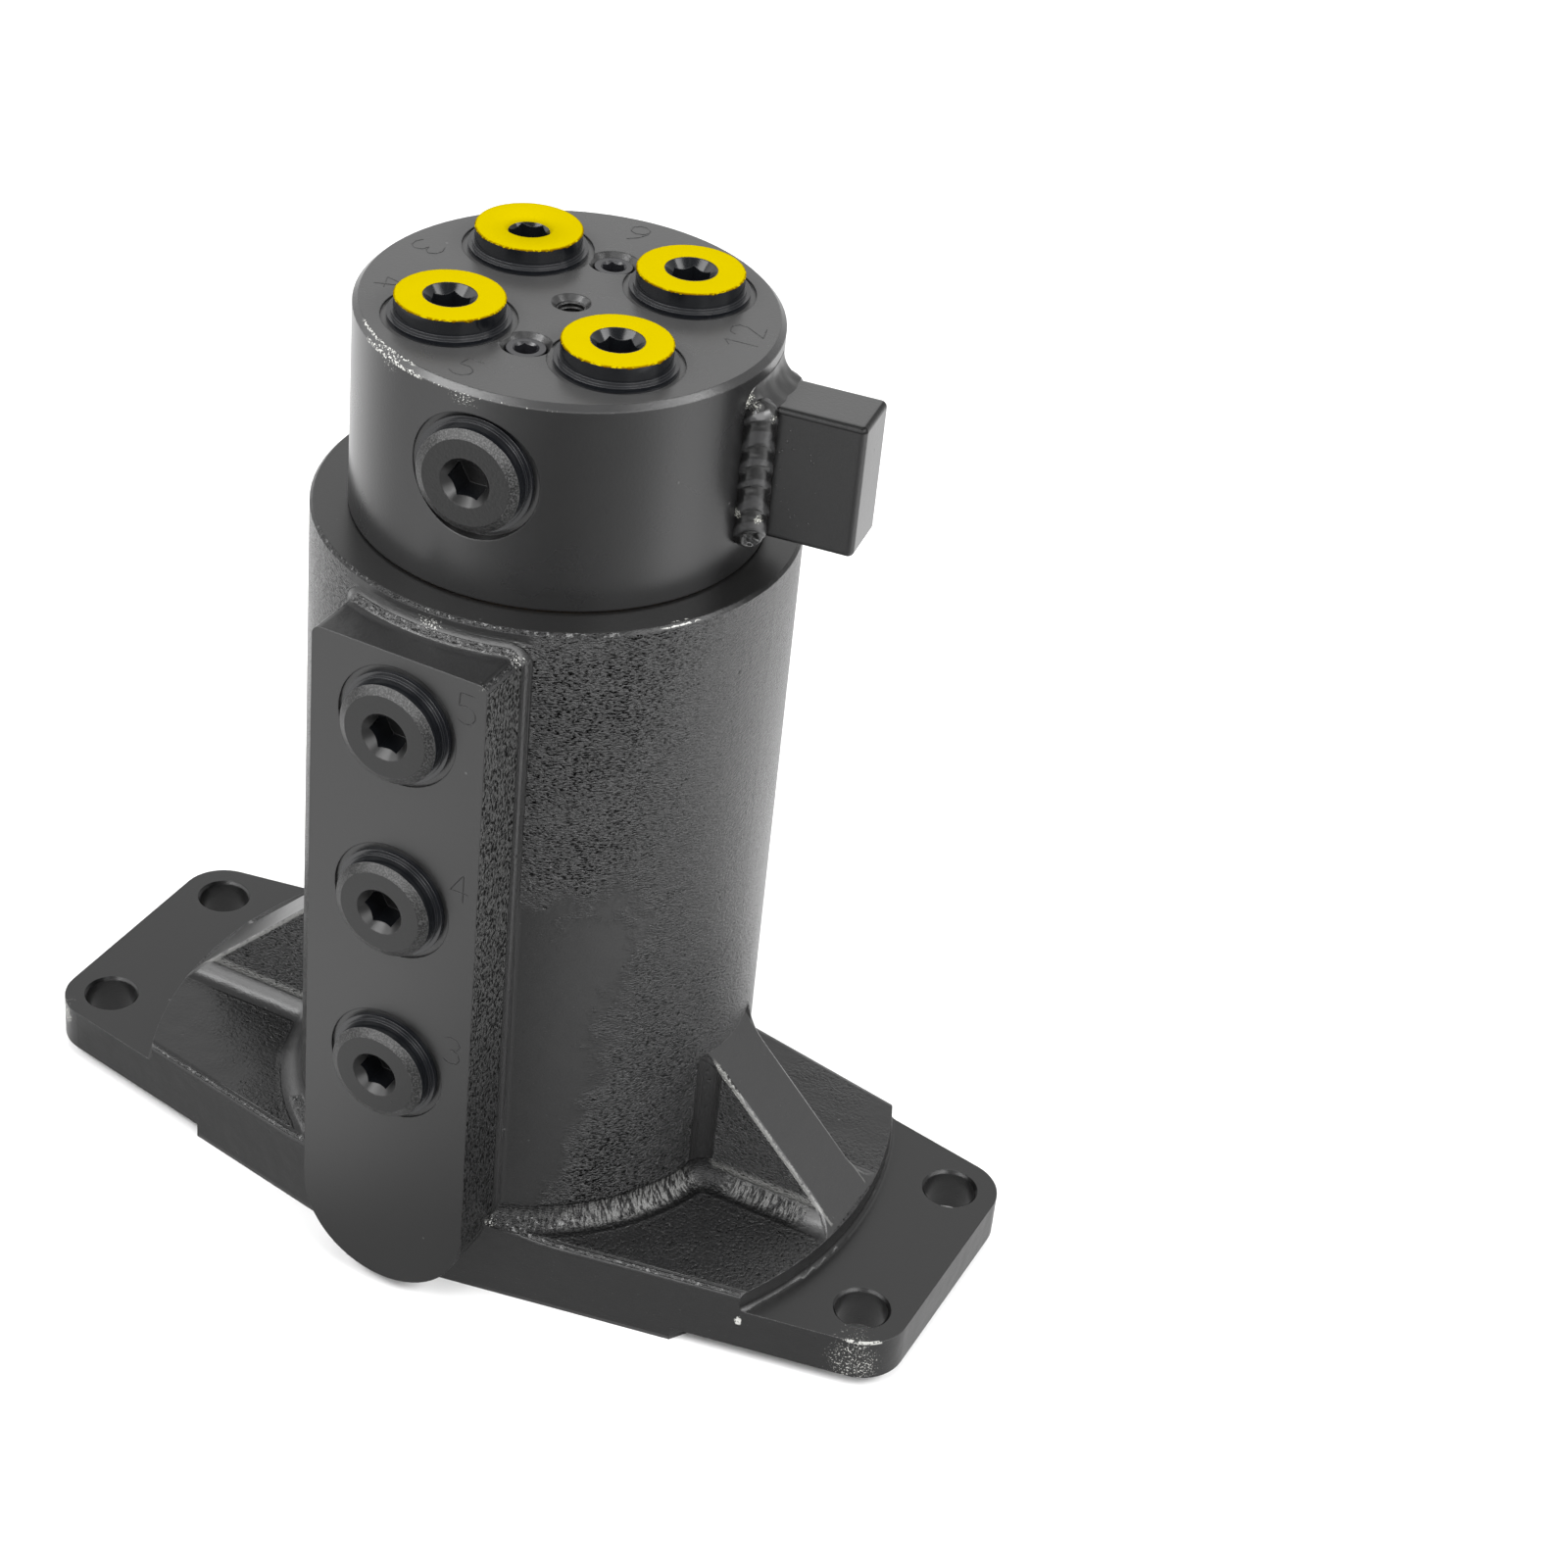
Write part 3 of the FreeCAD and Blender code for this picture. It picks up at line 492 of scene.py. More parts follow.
def casting_places(where):
    """Masks that tell a point's place on the casting, worked out in millimetres."""
    x, y, z = parts_of(arrow("SCALE", where["Object"], 1 / MM))
    nx, ny, nz = parts_of(where["Normal"])
    side_x, side_y, face_x, face_y = (abs(value) for value in (x, y, nx, ny))
    radius = away_from_axis(x, y)
    radial = (x * nx + y * ny) / radius
    slope = (face_x + nz) * math.sqrt(0.5)
    on_rib = step(side_y, 10.6, 10.2)
    plainest = strongest(face_x, face_y, nz, radial, slope * on_rib)
    angle = calc("DEGREES", calc("ARCTAN2", y, x))
    ragged = swing(where["Object"], 110.0, 4.0, 0.6) * 3.0
    uneven = radius + noise(where["Object"], 500.0, 3.0) * 0.9

    # Round barrel: pebbled away from the pad's top, smooth in one patch, calm toward the right
    off_pad = step(strongest(side_x, 60 - side_y), 22, 27)
    barrel = step(radial, 0.97, 0.99) * step(radius, 60, 59.4) * strongest(step(z, 192, 190), off_pad)
    beyond = strongest((angle - (z * 0.2 - 57.0)) / 9.0, (z - 120) / 13, (-72.0 - angle) / 3.0)
    smooth = step(beyond + ragged, 0.8, -0.8)
    calm = step(angle + ragged * 5.0, -42.0, -14.0) * blend_value(step(z, 115, 85), 1.0, 0.3)

    # Fillets: at the barrel's foot and beside the rib on the right, and upright at pad and rib; the foot and
    # rib fillets carry painted highlight streaks
    round_foot = step(uneven, 71, 68)
    beside_rib = band(side_y, 10.5, 17, 0.5) * step(uneven, 96, 88)
    root = (step(plainest, 0.998, 0.985) * band(nz, 0.08, 0.985, 0.01) * band(z, 17.6, 60, 0.1)
            * strongest(round_foot, beside_rib) * step(x, -10, 0.0))
    highlit_foot = round_foot * step(side_y, 13, 18) * blend_value(step(side_x, 30, 58), 0.1, 1.0)
    highlit_rib = beside_rib * step(uneven, 67, 72) * 0.7
    corner = root * strongest(highlit_foot, highlit_rib) * step(nz, 0.08, 0.3) * step(nz, 0.97, 0.8)
    straight = step(side_y, 17.2, 16.8) * step(radius, 70, 71)
    along = combined(blend_value(straight, angle * math.radians(64), x), radius * 0.3, z * 0.3)
    upright = step(plainest, 0.985, 0.88) * step(nz, 0.12, 0.05) * step(radius, 75, 73)

    # Edges painted dark as painted shade in place of their highlights: the barrel's rim, the flange's arc and
    # the ears' holes
    slanted = band(nz, 0.15, 0.93, 0.04)
    barrel_rim = slanted * step(z, 193.0, 193.4)
    arc = slanted * band(radius, 99.3, 103, 0.2) * band(z, 11.9, 15, 0.1) * 0.5
    hole_edge = slanted * step(side_x, 95, 100) * band(z, 10.4, 12.1, 0.1) * 0.6
    floor_edge = band(nz, 0.55, 0.88, 0.05) * step(side_y, 42, 43) * step(radius, 100, 98) * step(z, 13, 14)
    from_corner = arrow("LENGTH", combined(side_x - 115.5, side_y - 27.1))
    ear_rim = step(from_corner, 11.3, 11.6) * step(z, 11.2, 11.6) * step(side_x, 110, 113)

    # Painted highlights: light lines along both edges of the rib's crown, the near one ragged
    beyond_barrel = step(radius, 60, 62)
    wander = swing(where["Object"], 520.0, 4.0, 0.75) * 3.2
    near_line = band(y + wander, -10.8, -9.4, 0.12)
    far_line = band(y + wander * 0.3, 9.5, 9.9, 0.1)
    rib_line = (on_rib * beyond_barrel * step(z, 18.2, 18.8) * strongest(near_line, far_line * 0.7)
                * step(nz, 0.05, 0.2))
    return {"barrel": barrel, "smooth": smooth, "calm": calm, "root": root, "corner": corner,
            "along": arrow("SCALE", along, MM), "upright": upright, "rib line": rib_line,
            "rib side": step(face_y, 0.9, 0.98) * band(side_y, 9, 11, 0.2) * beyond_barrel,
            "floor": step(nz, 0.97, 0.99) * band(z, 17, 18, 0.1), "floor edge": floor_edge,
            "flank": step(face_x, 0.95, 0.98) * step(side_x, 30, 28), "ear rim": ear_rim, "height": z,
            "dull": strongest(barrel_rim * 0.65, arc, hole_edge, floor_edge * 0.35)}


def cast_paint():
    """The housing: pebbled casting skin, painted highlights as light ragged lines and fillet streaks, painted
    shade in the skin's pits, in root fillets and on some edges, and smooth machined faces.
    """
    made, shader, where = material("cast_paint")
    place = casting_places(where)
    z = place["height"]
    patches = step(noise(where["Object"], 30.0), 0.40, 0.60)
    rough_barrel = place["barrel"] * (1.0 - place["smooth"])
    pebbled = rough_barrel * blend_value(patches, 0.8, 1.0) * blend_value(place["calm"], 1.0, 0.45)
    strength = strongest(pebbled, place["rib side"] * 0.8, place["floor"] * patches * 0.6, place["flank"],
                         place["upright"] * 0.2, place["root"] * 0.3, place["floor edge"] * 0.5, 0.06)
    grain_way = blend_colour(strongest(place["flank"], place["upright"]), where["Object"],
                             stretched(where["Object"], 1.5, 1.5, 0.33))
    skin = use(CAST_SKIN, Strength=strength, Relief=strongest(strength, rough_barrel * 0.8), Vector=grain_way)
    grain = use(PAINT_GRAIN, Vector=where["Object"])
    wear = use(EDGE_WEAR, Vector=where["Object"], Width=0.4 * MM, Raggedness=0.52)
    machined = strongest(*[
        use(FLAT_ZONE, Vector=where["Object"], Normal=where["Normal"], Way=way, Height=height)["Mask"]
        for way, height in (((0, -1, 0), PAD_FACE), ((0, 1, 0), PAD_FACE), ((0, 0, 1), BARREL_TOP),
                            ((0, 0, 1), EAR_TOP), ((0, 0, -1), 0.0), ((0, 0, -1), 4 * MM))])
    ridges = noise(place["along"], 1500.0, 3.0, 0.6)
    # Painted highlight: streaks across the fillets and strokes high on the flank get a lighter tone
    streaked = place["corner"] * step(ridges, 0.42, 0.58)
    flank_highlight = place["flank"] * skin["Tone"] * step(z, 50, 110) * 0.3
    flecks = step(noise(where["Object"], 800.0, 4.0, 0.65), 0.56, 0.62)
    scraped = strongest(rubs(where, 2300.0, CAST_RUBS), rubs(where, 700.0, EAR_RIM_RUB) * place["ear rim"],
                        ring_scratches(where, 700.0, BARREL_SCRATCHES))
    worn = wear["Worn"] * blend_value(step(z, 186, 188), 0.4, 0.08)
    # Painted light and shade of the skin's relief: lighter on its raised ground, darker in its strokes
    shade = blend_colour(skin["Tone"], grey(BLACK_PAINT * 0.5), grey(BLACK_PAINT * 2.2, 0.02))
    for share, tone in ((machined, grey(BLACK_PAINT)),
                        (strongest(streaked, flank_highlight), grey(FILLET_HIGHLIGHT_PAINT, -0.03)),
                        (place["floor edge"] * flecks * 0.7, grey(RUBBED_AND_HIGHLIGHT_PAINT)),
                        (place["rib line"] * 0.85, grey(RUBBED_AND_HIGHLIGHT_PAINT, -0.04)),
                        (grain["Nib"] * 0.5, grey(RUBBED_AND_HIGHLIGHT_PAINT)),
                        (worn, grey(RUBBED_AND_HIGHLIGHT_PAINT)),
                        # The skin's strokes and pits are painted black as shade
                        (skin["Pit"], grey(0.0)),
                        (scraped, grey(BARE_METAL, -0.05))):
        shade = blend_colour(share, shade, tone)
    lasting = 1.0 - machined
    # Metallic over the dark colour paints shade: in the skin's strokes and pits, on the shaded edges and in
    # the root fillets outside the highlight streaks
    unlit = strongest(skin["Pit"] * lasting, place["dull"], place["root"] * (1.0 - streaked) * 0.8)
    normal = bump(skin["Height"], 0.75 * MM, lasting, wear["Normal"])
    normal = bump(ridges, 0.6 * MM, place["corner"], normal)
    feeds(shader, Base_Color=shade, Metallic=unlit * (1.0 - scraped),
          Roughness=blend_value(scraped, blend_value(machined, 0.29, 0.3), 0.6),
          Normal=bump(grain["Height"], 0.015 * MM, 1.0, normal))
    return made


PORT_YELLOW = (0.335, 0.262, 0.0, 1)
LIGHT_YELLOW = (0.35175, 0.2751, 0.0, 1)
THIN_YELLOW = (0.10, 0.045, 0.0, 1)
COLLAR_BLACK = (0.0045, 0.005, 0.006, 1)


def port_yellow():
    """Matt yellow marking paint, thin and brownish where it runs over an edge."""
    made, shader, where = material("port_yellow")
    thin = add(made.node_tree, "Attribute", attribute_name="thin")["Fac"]
    tone = noise(where["Object"], 160.0, 3.0)
    patchy = thin * step(noise(where["Object"], 900.0, 3.0, 0.6), 0.36, 0.5)
    feeds(shader, Base_Color=blend_colour(patchy, blend_colour(tone, PORT_YELLOW, LIGHT_YELLOW), THIN_YELLOW),
          Roughness=blend_value(tone, 0.5, 0.62), Specular_IOR_Level=0.0,
          Normal=bump(noise(where["Object"], 700.0), 0.01 * MM))
    return made


def black_plug(name, way, grain=0.02, satin_from=0.25, gloss=0.3):
    """Painted plug: satin face, glossy collar side and socket."""
    made, shader, where = material(name)
    facing = abs(arrow("DOT_PRODUCT", where["Normal"], way))
    face = step(facing, satin_from, satin_from + 0.2)
    outer = step(facing, 0.70, 0.76)
    paint = use(PAINT_GRAIN, Vector=where["Object"])
    wear = use(EDGE_WEAR, Vector=where["Object"], Width=0.3 * MM, Raggedness=0.5)
    specks = step(noise(where["Object"], 2600.0, 3.0, 0.6), 0.44, 0.62)
    shade = blend_colour(face, COLLAR_BLACK, grey(BLACK_PAINT))
    shade = blend_colour(band(facing, 0.78, 0.92, 0.02) * specks * 0.35, shade, grey(RUBBED_AND_HIGHLIGHT_PAINT))
    shade = blend_colour(outer * wear["Worn"] * 0.6, shade, grey(RUBBED_AND_HIGHLIGHT_PAINT))
    feeds(shader, Base_Color=shade, Roughness=blend_value(face, 0.16, 0.3), Specular_IOR_Level=gloss,
          Normal=bump(paint["Height"], grain * MM, outer, wear["Normal"]))
    return made


def plain_finish(name, colour, roughness, metallic=0.0, scale=600.0):
    """A finish whose tone and roughness drift a little: rubber, bronze or bare steel."""
    made, shader, where = material(name)
    drift = noise(where["Object"], scale, 4.0, 0.6)
    dark, light = (tuple(c * share for c in colour) + (1,) for share in (0.85, 1.15))
    wear = use(EDGE_WEAR, Vector=where["Object"], Width=0.2 * MM)
    feeds(shader, Base_Color=blend_colour(drift, dark, light), Metallic=metallic,
          Roughness=blend_value(drift, roughness - 0.05, roughness + 0.08),
          Normal=bump(drift, 0.01 * MM, 1.0, wear["Normal"]))
    return made


WELD_RUBS = [((51.3, -6.9, 241.6), 5.0, 0.66, 1.0), ((49.9, -6.6, 212.0), 2.4, 0.5, 1.0),
             ((54.4, -4.8, 211.0), 2.4, 0.5, 1.0), ((54.6, -3.4, 236.6), 2.4, 0.5, 1.0)]


def weld_paint():
    """Painted weld bead: the lighter bands of its ripples are painted highlights, its slag pit is painted
    near black as shade, and its top is scraped pale.
    """
    made, shader, where = material("weld_paint")
    crest, pit = (add(made.node_tree, "Attribute", attribute_name=name)["Fac"] for name in ("crest", "pit"))
    grain = use(PAINT_GRAIN, Vector=where["Object"])
    scraped = rubs(where, 2600.0, WELD_RUBS)
    shade = blend_colour(grain["Tone"], grey(BLACK_PAINT * 0.4), grey(BLACK_PAINT * 0.9))
    # Ripple bands get a painted highlight, the slag pit painted shade
    for share, tone in ((crest * 0.75, grey(PAINTED_LIGHT_TONE, 0.03)), (pit, grey(0.001)),
                        (scraped, grey(BARE_METAL, -0.1))):
        shade = blend_colour(share, shade, tone)
    feeds(shader, Base_Color=shade, Roughness=blend_value(scraped, 0.28, 0.6),
          Normal=bump(noise(where["Object"], 900.0, 4.0, 0.6), 0.03 * MM))
    return made


# Marking paint on the plugs' tops: places are in mm out from the axis and up from the top

COLLAR_RADIUS = 12.8
PAINTED_CHAMFER = 0.25
COUNTERSINK_RADIUS = 6.1
COAT = 0.02
COAT_STEPS = 240


def paint_coat(port, filled_sink, paint):
    """Marking paint on one plug's top: a thin coat that runs raggedly over the rim."""
    low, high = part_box(f"top_plug_{port}")
    centre = (low + high) / 2
    inner = COUNTERSINK_RADIUS + 0.12
    points, thin = [], []
    for i in range(COAT_STEPS):
        angle = math.tau * i / COAT_STEPS
        way = Vector((math.cos(angle), math.sin(angle), 0))
        ragged = mesh_noise.noise(way * 6 + Vector((0, 0, port * 9.7)))
        fine = mesh_noise.noise(way * 26 + Vector((0, 0, port * 3.1)))
        run = 0.30 + max(0.0, 0.55 * ragged + 0.35 * fine)
        rim = COLLAR_RADIUS - PAINTED_CHAMFER + 0.05 * fine
        if filled_sink:
            profile = [(4.98, -1.34, 0), (4.98, -1.22, 0), (6.1, 0.02, 0)]
        else:
            profile = [(inner, -0.1, 1), (inner, 0.0, 1), (inner + 0.18, COAT, 0)]
        profile += [(rim - 0.22, COAT, 0), (rim + 0.08, 0.0, 0.6), (COLLAR_RADIUS + 0.05, -0.26, 1),
                    (COLLAR_RADIUS + 0.04, -run, 1), (COLLAR_RADIUS - 0.10, -run - 0.05, 1),
                    (rim - 0.3, -0.5, 0)]
        for radius, height, share in profile:
            spot = centre + way * radius * MM
            points.append((spot.x, spot.y, PLUG_TOP + height * MM))
            thin.append(share)
    ring = len(profile)
    faces = []
    for i in range(COAT_STEPS):
        this, following = i * ring, (i + 1) % COAT_STEPS * ring
        for j in range(ring):
            k = (j + 1) % ring
            faces.append((this + j, following + j, following + k, this + k))
    mesh = new_mesh(f"port_paint_{port}", points, faces, paint)
    mesh.attributes.new("thin", "FLOAT", "POINT").data.foreach_set("value", thin)
    made = new_object(f"port_paint_{port}", mesh)
    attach(made, "rotor")


# Pieces made by Geometry Nodes

def geo(tree, kind, inputs=(), **settings):
    return add(tree, "GeometryNode" + kind, inputs, **settings)


def finish_tree(tree, out, geometry, paint):
    """Ends a tree: smooth faces, real copies and one material."""
    smooth = geo(tree, "SetShadeSmooth", {"Geometry": geometry})["Geometry"]
    real = geo(tree, "RealizeInstances", {"Geometry": smooth})["Geometry"]
    feed(out["Geometry"], geo(tree, "SetMaterial", {"Geometry": real, "Material": paint})["Geometry"])
    return tree


def tube_along(tree, curve, radius, sides):
    """A closed round tube along a curve."""
    profile = geo(tree, "CurvePrimitiveCircle", {"Resolution": sides, "Radius": radius})["Curve"]
    return geo(tree, "CurveToMesh", {"Curve": curve, "Profile Curve": profile, "Fill Caps": True})["Mesh"]


def capture(tree, geometry, **values):
    """Keeps values measured on a geometry's points for use after it has changed."""
    made = geo(tree, "CaptureAttribute", domain="POINT")
    for name, value in values.items():
        made.node.capture_items.new({"VALUE": "FLOAT"}.get(value.socket.type, "VECTOR"), name)
    feeds(made.node.inputs, Geometry=geometry, **values)
    return made


def make_weld_run():
    """A round bead along a line: domed ends, bowed ripples like shingles, and a slag pit."""
    tree, given, out = new_group(
        "GeometryNodeTree", "weld_run",
        {"Geometry": "Geometry", "Radius": 0.0041, "Pitch": 0.0050, "Ripple": 0.0003, "Bow": 0.0062,
         "Unevenness": 0.0018, "Outward": (1.0, 0.0, 0.0), "Pit": (0.0, 0.0, 0.0), "Pit Radius": 0.0,
         "Rings": 340, "Paint": "Material"},
        {"Geometry": "Geometry"})
    radius, unevenness = given["Radius"], given["Unevenness"]
    line = geo(tree, "ResampleCurve", {"Curve": given["Geometry"], "Count": given["Rings"]})["Curve"]
    kept = capture(tree, line, Along=geo(tree, "SplineParameter")["Length"],
                   Whole=geo(tree, "SplineLength")["Length"], Centre=geo(tree, "InputPosition")[0])
    along, centre = kept["Along"], kept["Centre"]
    tube = tube_along(tree, kept["Geometry"], radius, 56)
    place = geo(tree, "InputPosition")[0]
    radial = arrow("NORMALIZE", arrow("SUBTRACT", place, centre))
    facing = arrow("DOT_PRODUCT", radial, given["Outward"])
    wobble = swing(arrow("SCALE", (0.37, 0.61, 1.0), along), 170.0) * (unevenness * 3.0)
    slant = swing(place, 200.0, 1.0) * unevenness
    bowed = along + wobble + slant - facing * given["Bow"]
    turn = calc("FRACT", bowed / given["Pitch"])
    light = step(turn, 0.08, 0.16) * step(turn, 0.50, 0.40)
    crest = step(turn, 0.0, 0.07) * step(turn, 1.0, 0.42)
    near_end = calc("DIVIDE", calc("MINIMUM", along, kept["Whole"] - along), radius, clamp=True)
    dome = calc("SQRT", near_end * (2.0 - near_end))
    lumps = swing(place, 260.0) * (unevenness * 0.35)
    off_pit = arrow("DISTANCE", place, given["Pit"]) + swing(place, 700.0) * 0.0014
    pit = step(off_pit, given["Pit Radius"], given["Pit Radius"] * 0.6)
    reach = (radius + lumps + crest * given["Ripple"]) * dome - pit * 0.0017
    geometry = geo(tree, "SetPosition", {
        "Geometry": tube, "Position": arrow("ADD", centre, arrow("SCALE", radial, reach))})["Geometry"]
    # The ripple bands are stored as crest for a painted highlight, and the pit for painted shade
    for name, value in (("crest", light), ("pit", pit)):
        geometry = geo(tree, "StoreNamedAttribute", {"Name": name, "Geometry": geometry, "Value": value},
                       data_type="FLOAT", domain="POINT")["Geometry"]
    return finish_tree(tree, out, geometry, given["Paint"])


def make_drawn_line():
    """A thin round line along a path, for stamped strokes and threads."""
    tree, given, out = new_group(
        "GeometryNodeTree", "drawn_line",
        {"Geometry": "Geometry", "Radius": 0.00012, "Sides": 6, "Spacing": 0.0003, "Unevenness": 0.00004,
         "Paint": "Material"},
        {"Geometry": "Geometry"})
    line = geo(tree, "ResampleCurve", {"Curve": given["Geometry"], "Length": given["Spacing"]}, mode="LENGTH")
    place = geo(tree, "InputPosition")[0]
    shift = arrow("SUBTRACT", noise(place, 900.0, output="Color"), (0.5, 0.5, 0.5))
    shaken = geo(tree, "SetPosition", {
        "Geometry": line["Curve"], "Offset": arrow("SCALE", shift, given["Unevenness"])})["Geometry"]
    tube = tube_along(tree, shaken, given["Radius"], given["Sides"])
    return finish_tree(tree, out, tube, given["Paint"])


def make_spatter():
    """Small drops of weld metal scattered over a patch of surface."""
    tree, given, out = new_group(
        "GeometryNodeTree", "spatter",
        {"Geometry": "Geometry", "Density": 20000.0, "Drop": 0.0003, "Seed": 4, "Paint": "Material"},
        {"Geometry": "Geometry"})
    points = geo(tree, "DistributePointsOnFaces", {
        "Mesh": given["Geometry"], "Density": given["Density"], "Seed": given["Seed"]})["Points"]
    drop = geo(tree, "MeshIcoSphere", {"Subdivisions": 2, "Radius": given["Drop"]})["Mesh"]
    size = add(tree, "FunctionNodeRandomValue", data_type="FLOAT")
    feeds(size.node.inputs, Min=0.35, Max=1.3, Seed=given["Seed"])
    copies = geo(tree, "InstanceOnPoints", {"Points": points, "Instance": drop, "Scale": size[1]})
    return finish_tree(tree, out, copies["Instances"], given["Paint"])


def grow(name, data, tree, **values):
    """Runs a tree on a curve or mesh and keeps the result as a plain mesh object."""
    source = new_object(name + "_path", data)
    modifier = source.modifiers.new("shape", "NODES")
    modifier.node_group = tree
    sockets = {item.name: item.identifier for item in tree.interface.items_tree if item.in_out == "INPUT"}
    for label, value in values.items():
        modifier[sockets[label.replace("_", " ")]] = value
    bpy.context.view_layer.update()
    depsgraph = bpy.context.evaluated_depsgraph_get()
    mesh = bpy.data.meshes.new_from_object(source.evaluated_get(depsgraph), depsgraph=depsgraph)
    bpy.data.objects.remove(source)
    return new_object(name, mesh)


def paths(name, lines):
    """A curve of straight splines, one for each list of points."""
    data = bpy.data.curves.new(name, "CURVE")
    data.dimensions = "3D"
    for points in lines:
        spline = data.splines.new("POLY")
        spline.points.add(len(points) - 1)
        for point, place in zip(spline.points, points):
            point.co = (*place, 1)
    return data


def joined(name, pieces):
    """One mesh object from several, each with the first one's material."""
    for piece in pieces:
        piece.select_set(True)
    bpy.context.view_layer.objects.active = pieces[0]
    with bpy.context.temp_override(active_object=pieces[0], selected_editable_objects=pieces,
                                   selected_objects=pieces):
        bpy.ops.object.join()
    pieces[0].name = name
    return pieces[0]


# Weld round the stop lug

def on_lug(x, y, z):
    """A place given along and across the lug, as a place on the whole joint."""
    return (x * math.cos(LUG_ANGLE) - y * math.sin(LUG_ANGLE),
            x * math.sin(LUG_ANGLE) + y * math.cos(LUG_ANGLE), z)


def side_bead(side, tree, paint):
    across = side * (LUG_WIDTH / 2 + WELD_OUT)
    out = math.sqrt(HEAD_RADIUS ** 2 - (LUG_WIDTH / 2) ** 2) + WELD_OUT
    low, high = LUG_LOW - 2.2 * MM, LUG_TOP + (2.0 if side < 0 else 0.0) * MM
    line = paths("bead_line", [[on_lug(out, across, low), on_lug(out, across, high)]])
    outward = Vector(on_lug(0.55, side, 0)).normalized()
    pit = Vector(on_lug(out, across, low + 3.2 * MM)) + outward * WELD_RADIUS
    return grow(f"bead_{'near' if side < 0 else 'far'}", line, tree, Outward=outward, Pit=pit,
                Pit_Radius=2.2 * MM, Pitch=(5.6 if side < 0 else 4.9) * MM, Paint=paint)


def hollow_bead(paint):
    """The bead over the lug's top, hollow between head and lug, and wrapped down over both of its edges."""
    half = LUG_WIDTH / 2
    away = (WELD_LEG + math.sqrt(2 * WELD_HOLLOW ** 2 - WELD_LEG ** 2)) / 2
    lean_in = math.asin((away - WELD_LEG) / WELD_HOLLOW)
    start, end = math.pi + lean_in, 1.5 * math.pi - lean_in
    rows, wraps, columns = 48, 14, 20
    spine = [(-half, -math.pi / 2 * (wraps - k) / wraps) for k in range(wraps)]
    spine += [(half * (2 * j / rows - 1), 0.0) for j in range(rows + 1)]
    spine += [(half, math.pi / 2 * (k + 1) / wraps) for k in range(wraps)]
    profile = []
    for i in range(columns + 1):
        angle = start + (end - start) * i / columns
        profile.append((away + WELD_HOLLOW * math.cos(angle), away + WELD_HOLLOW * math.sin(angle), 0.12))
    profile += [(WELD_LEG, -MM, 0.0), (-3 * MM, -MM, 0.0), (-3 * MM, WELD_LEG, 0.0)]
    points = []
    for y, lean in spine:
        for x, rise, rough in profile:
            place_y = y + rise * math.sin(lean)
            on_head = math.sqrt(HEAD_RADIUS ** 2 - place_y ** 2)
            place = Vector((on_head + x, place_y, LUG_TOP + rise * math.cos(lean)))
            lump = rough * MM * mesh_noise.noise(place * 350)
            points.append(on_lug(place.x + lump, place.y, place.z + lump))
    ring, last = len(profile), len(spine) - 1
    faces = []
    for j in range(last):
        for i in range(ring):
            a, b = j * ring + i, j * ring + (i + 1) % ring
            faces.append((a, b, b + ring, a + ring))
    faces.append(tuple(range(ring - 1, -1, -1)))
    faces.append(tuple(range(last * ring, (last + 1) * ring)))
    return new_object("bead_over", new_mesh("bead_over", points, faces, paint))


def lug_weld(paint):
    run = make_weld_run()
    weld = joined("weld_round_lug", [side_bead(-1, run, paint), side_bead(1, run, paint),
                                     hollow_bead(paint)])
    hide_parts("lug_weld")
    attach(weld, "rotor")


def weld_spatter(paint):
    """Drops beside both side beads, on the lug's faces."""
    tree = make_spatter()
    near, far, low, high = 54 * MM, 66 * MM, LUG_LOW + 2 * MM, LUG_TOP - 2 * MM
    drops = []
    for side in (-1, 1):
        face = side * LUG_WIDTH / 2
        corners = [on_lug(x, face, z) for x, z in ((near, low), (far, low), (far, high), (near, high))]
        lug = new_mesh("drops_on_lug", corners, [(0, 1, 2, 3)])
        drops.append(grow("drops", lug, tree, Density=60000.0, Drop=0.22 * MM, Seed=3 + side, Paint=paint))
    spatter = joined("weld_spatter", drops)
    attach(spatter, "rotor")


# Numbers stamped beside the ports, drawn on a grid one unit wide and two high

STROKES = {
    "1": [[(0.2, 1.6), (0.6, 2.0), (0.6, 0.0)]],
    "2": [[(0.0, 1.6), (0.2, 1.95), (0.7, 2.0), (1.0, 1.6), (0.9, 1.1), (0.0, 0.0), (1.0, 0.0)]],
    "3": [[(0.0, 1.8), (0.4, 2.0), (0.8, 1.9), (1.0, 1.5), (0.8, 1.15), (0.45, 1.05)],
          [(0.45, 1.05), (0.85, 0.95), (1.0, 0.5), (0.8, 0.1), (0.4, 0.0), (0.0, 0.2)]],
    "4": [[(0.75, 0.0), (0.75, 2.0), (0.0, 0.65), (1.05, 0.65)]],
    "5": [[(0.9, 2.0), (0.1, 2.0), (0.05, 1.15), (0.6, 1.2), (0.95, 0.9), (1.0, 0.5), (0.75, 0.08),
           (0.35, 0.0), (0.0, 0.2)]],
    "6": [[(0.8, 2.0), (0.3, 1.5), (0.05, 0.9), (0.05, 0.4), (0.3, 0.05), (0.7, 0.0), (1.0, 0.35),
           (0.95, 0.85), (0.6, 1.1), (0.2, 0.95), (0.05, 0.6)]],
}

# Angle of each number on the head, in degrees, and height of each on the pad, in mm

HEAD_STAMPS = {"5": -99.0, "3": 169.0, "4": -162.0, "6": 92.0, "2": 12.0, "1": 3.0}
PAD_STAMPS = {"5": 176.5, "4": 127.0, "3": 78.0}
STAMP_HEIGHT = 8 * MM
STAMP_SINK = 0.03 * MM


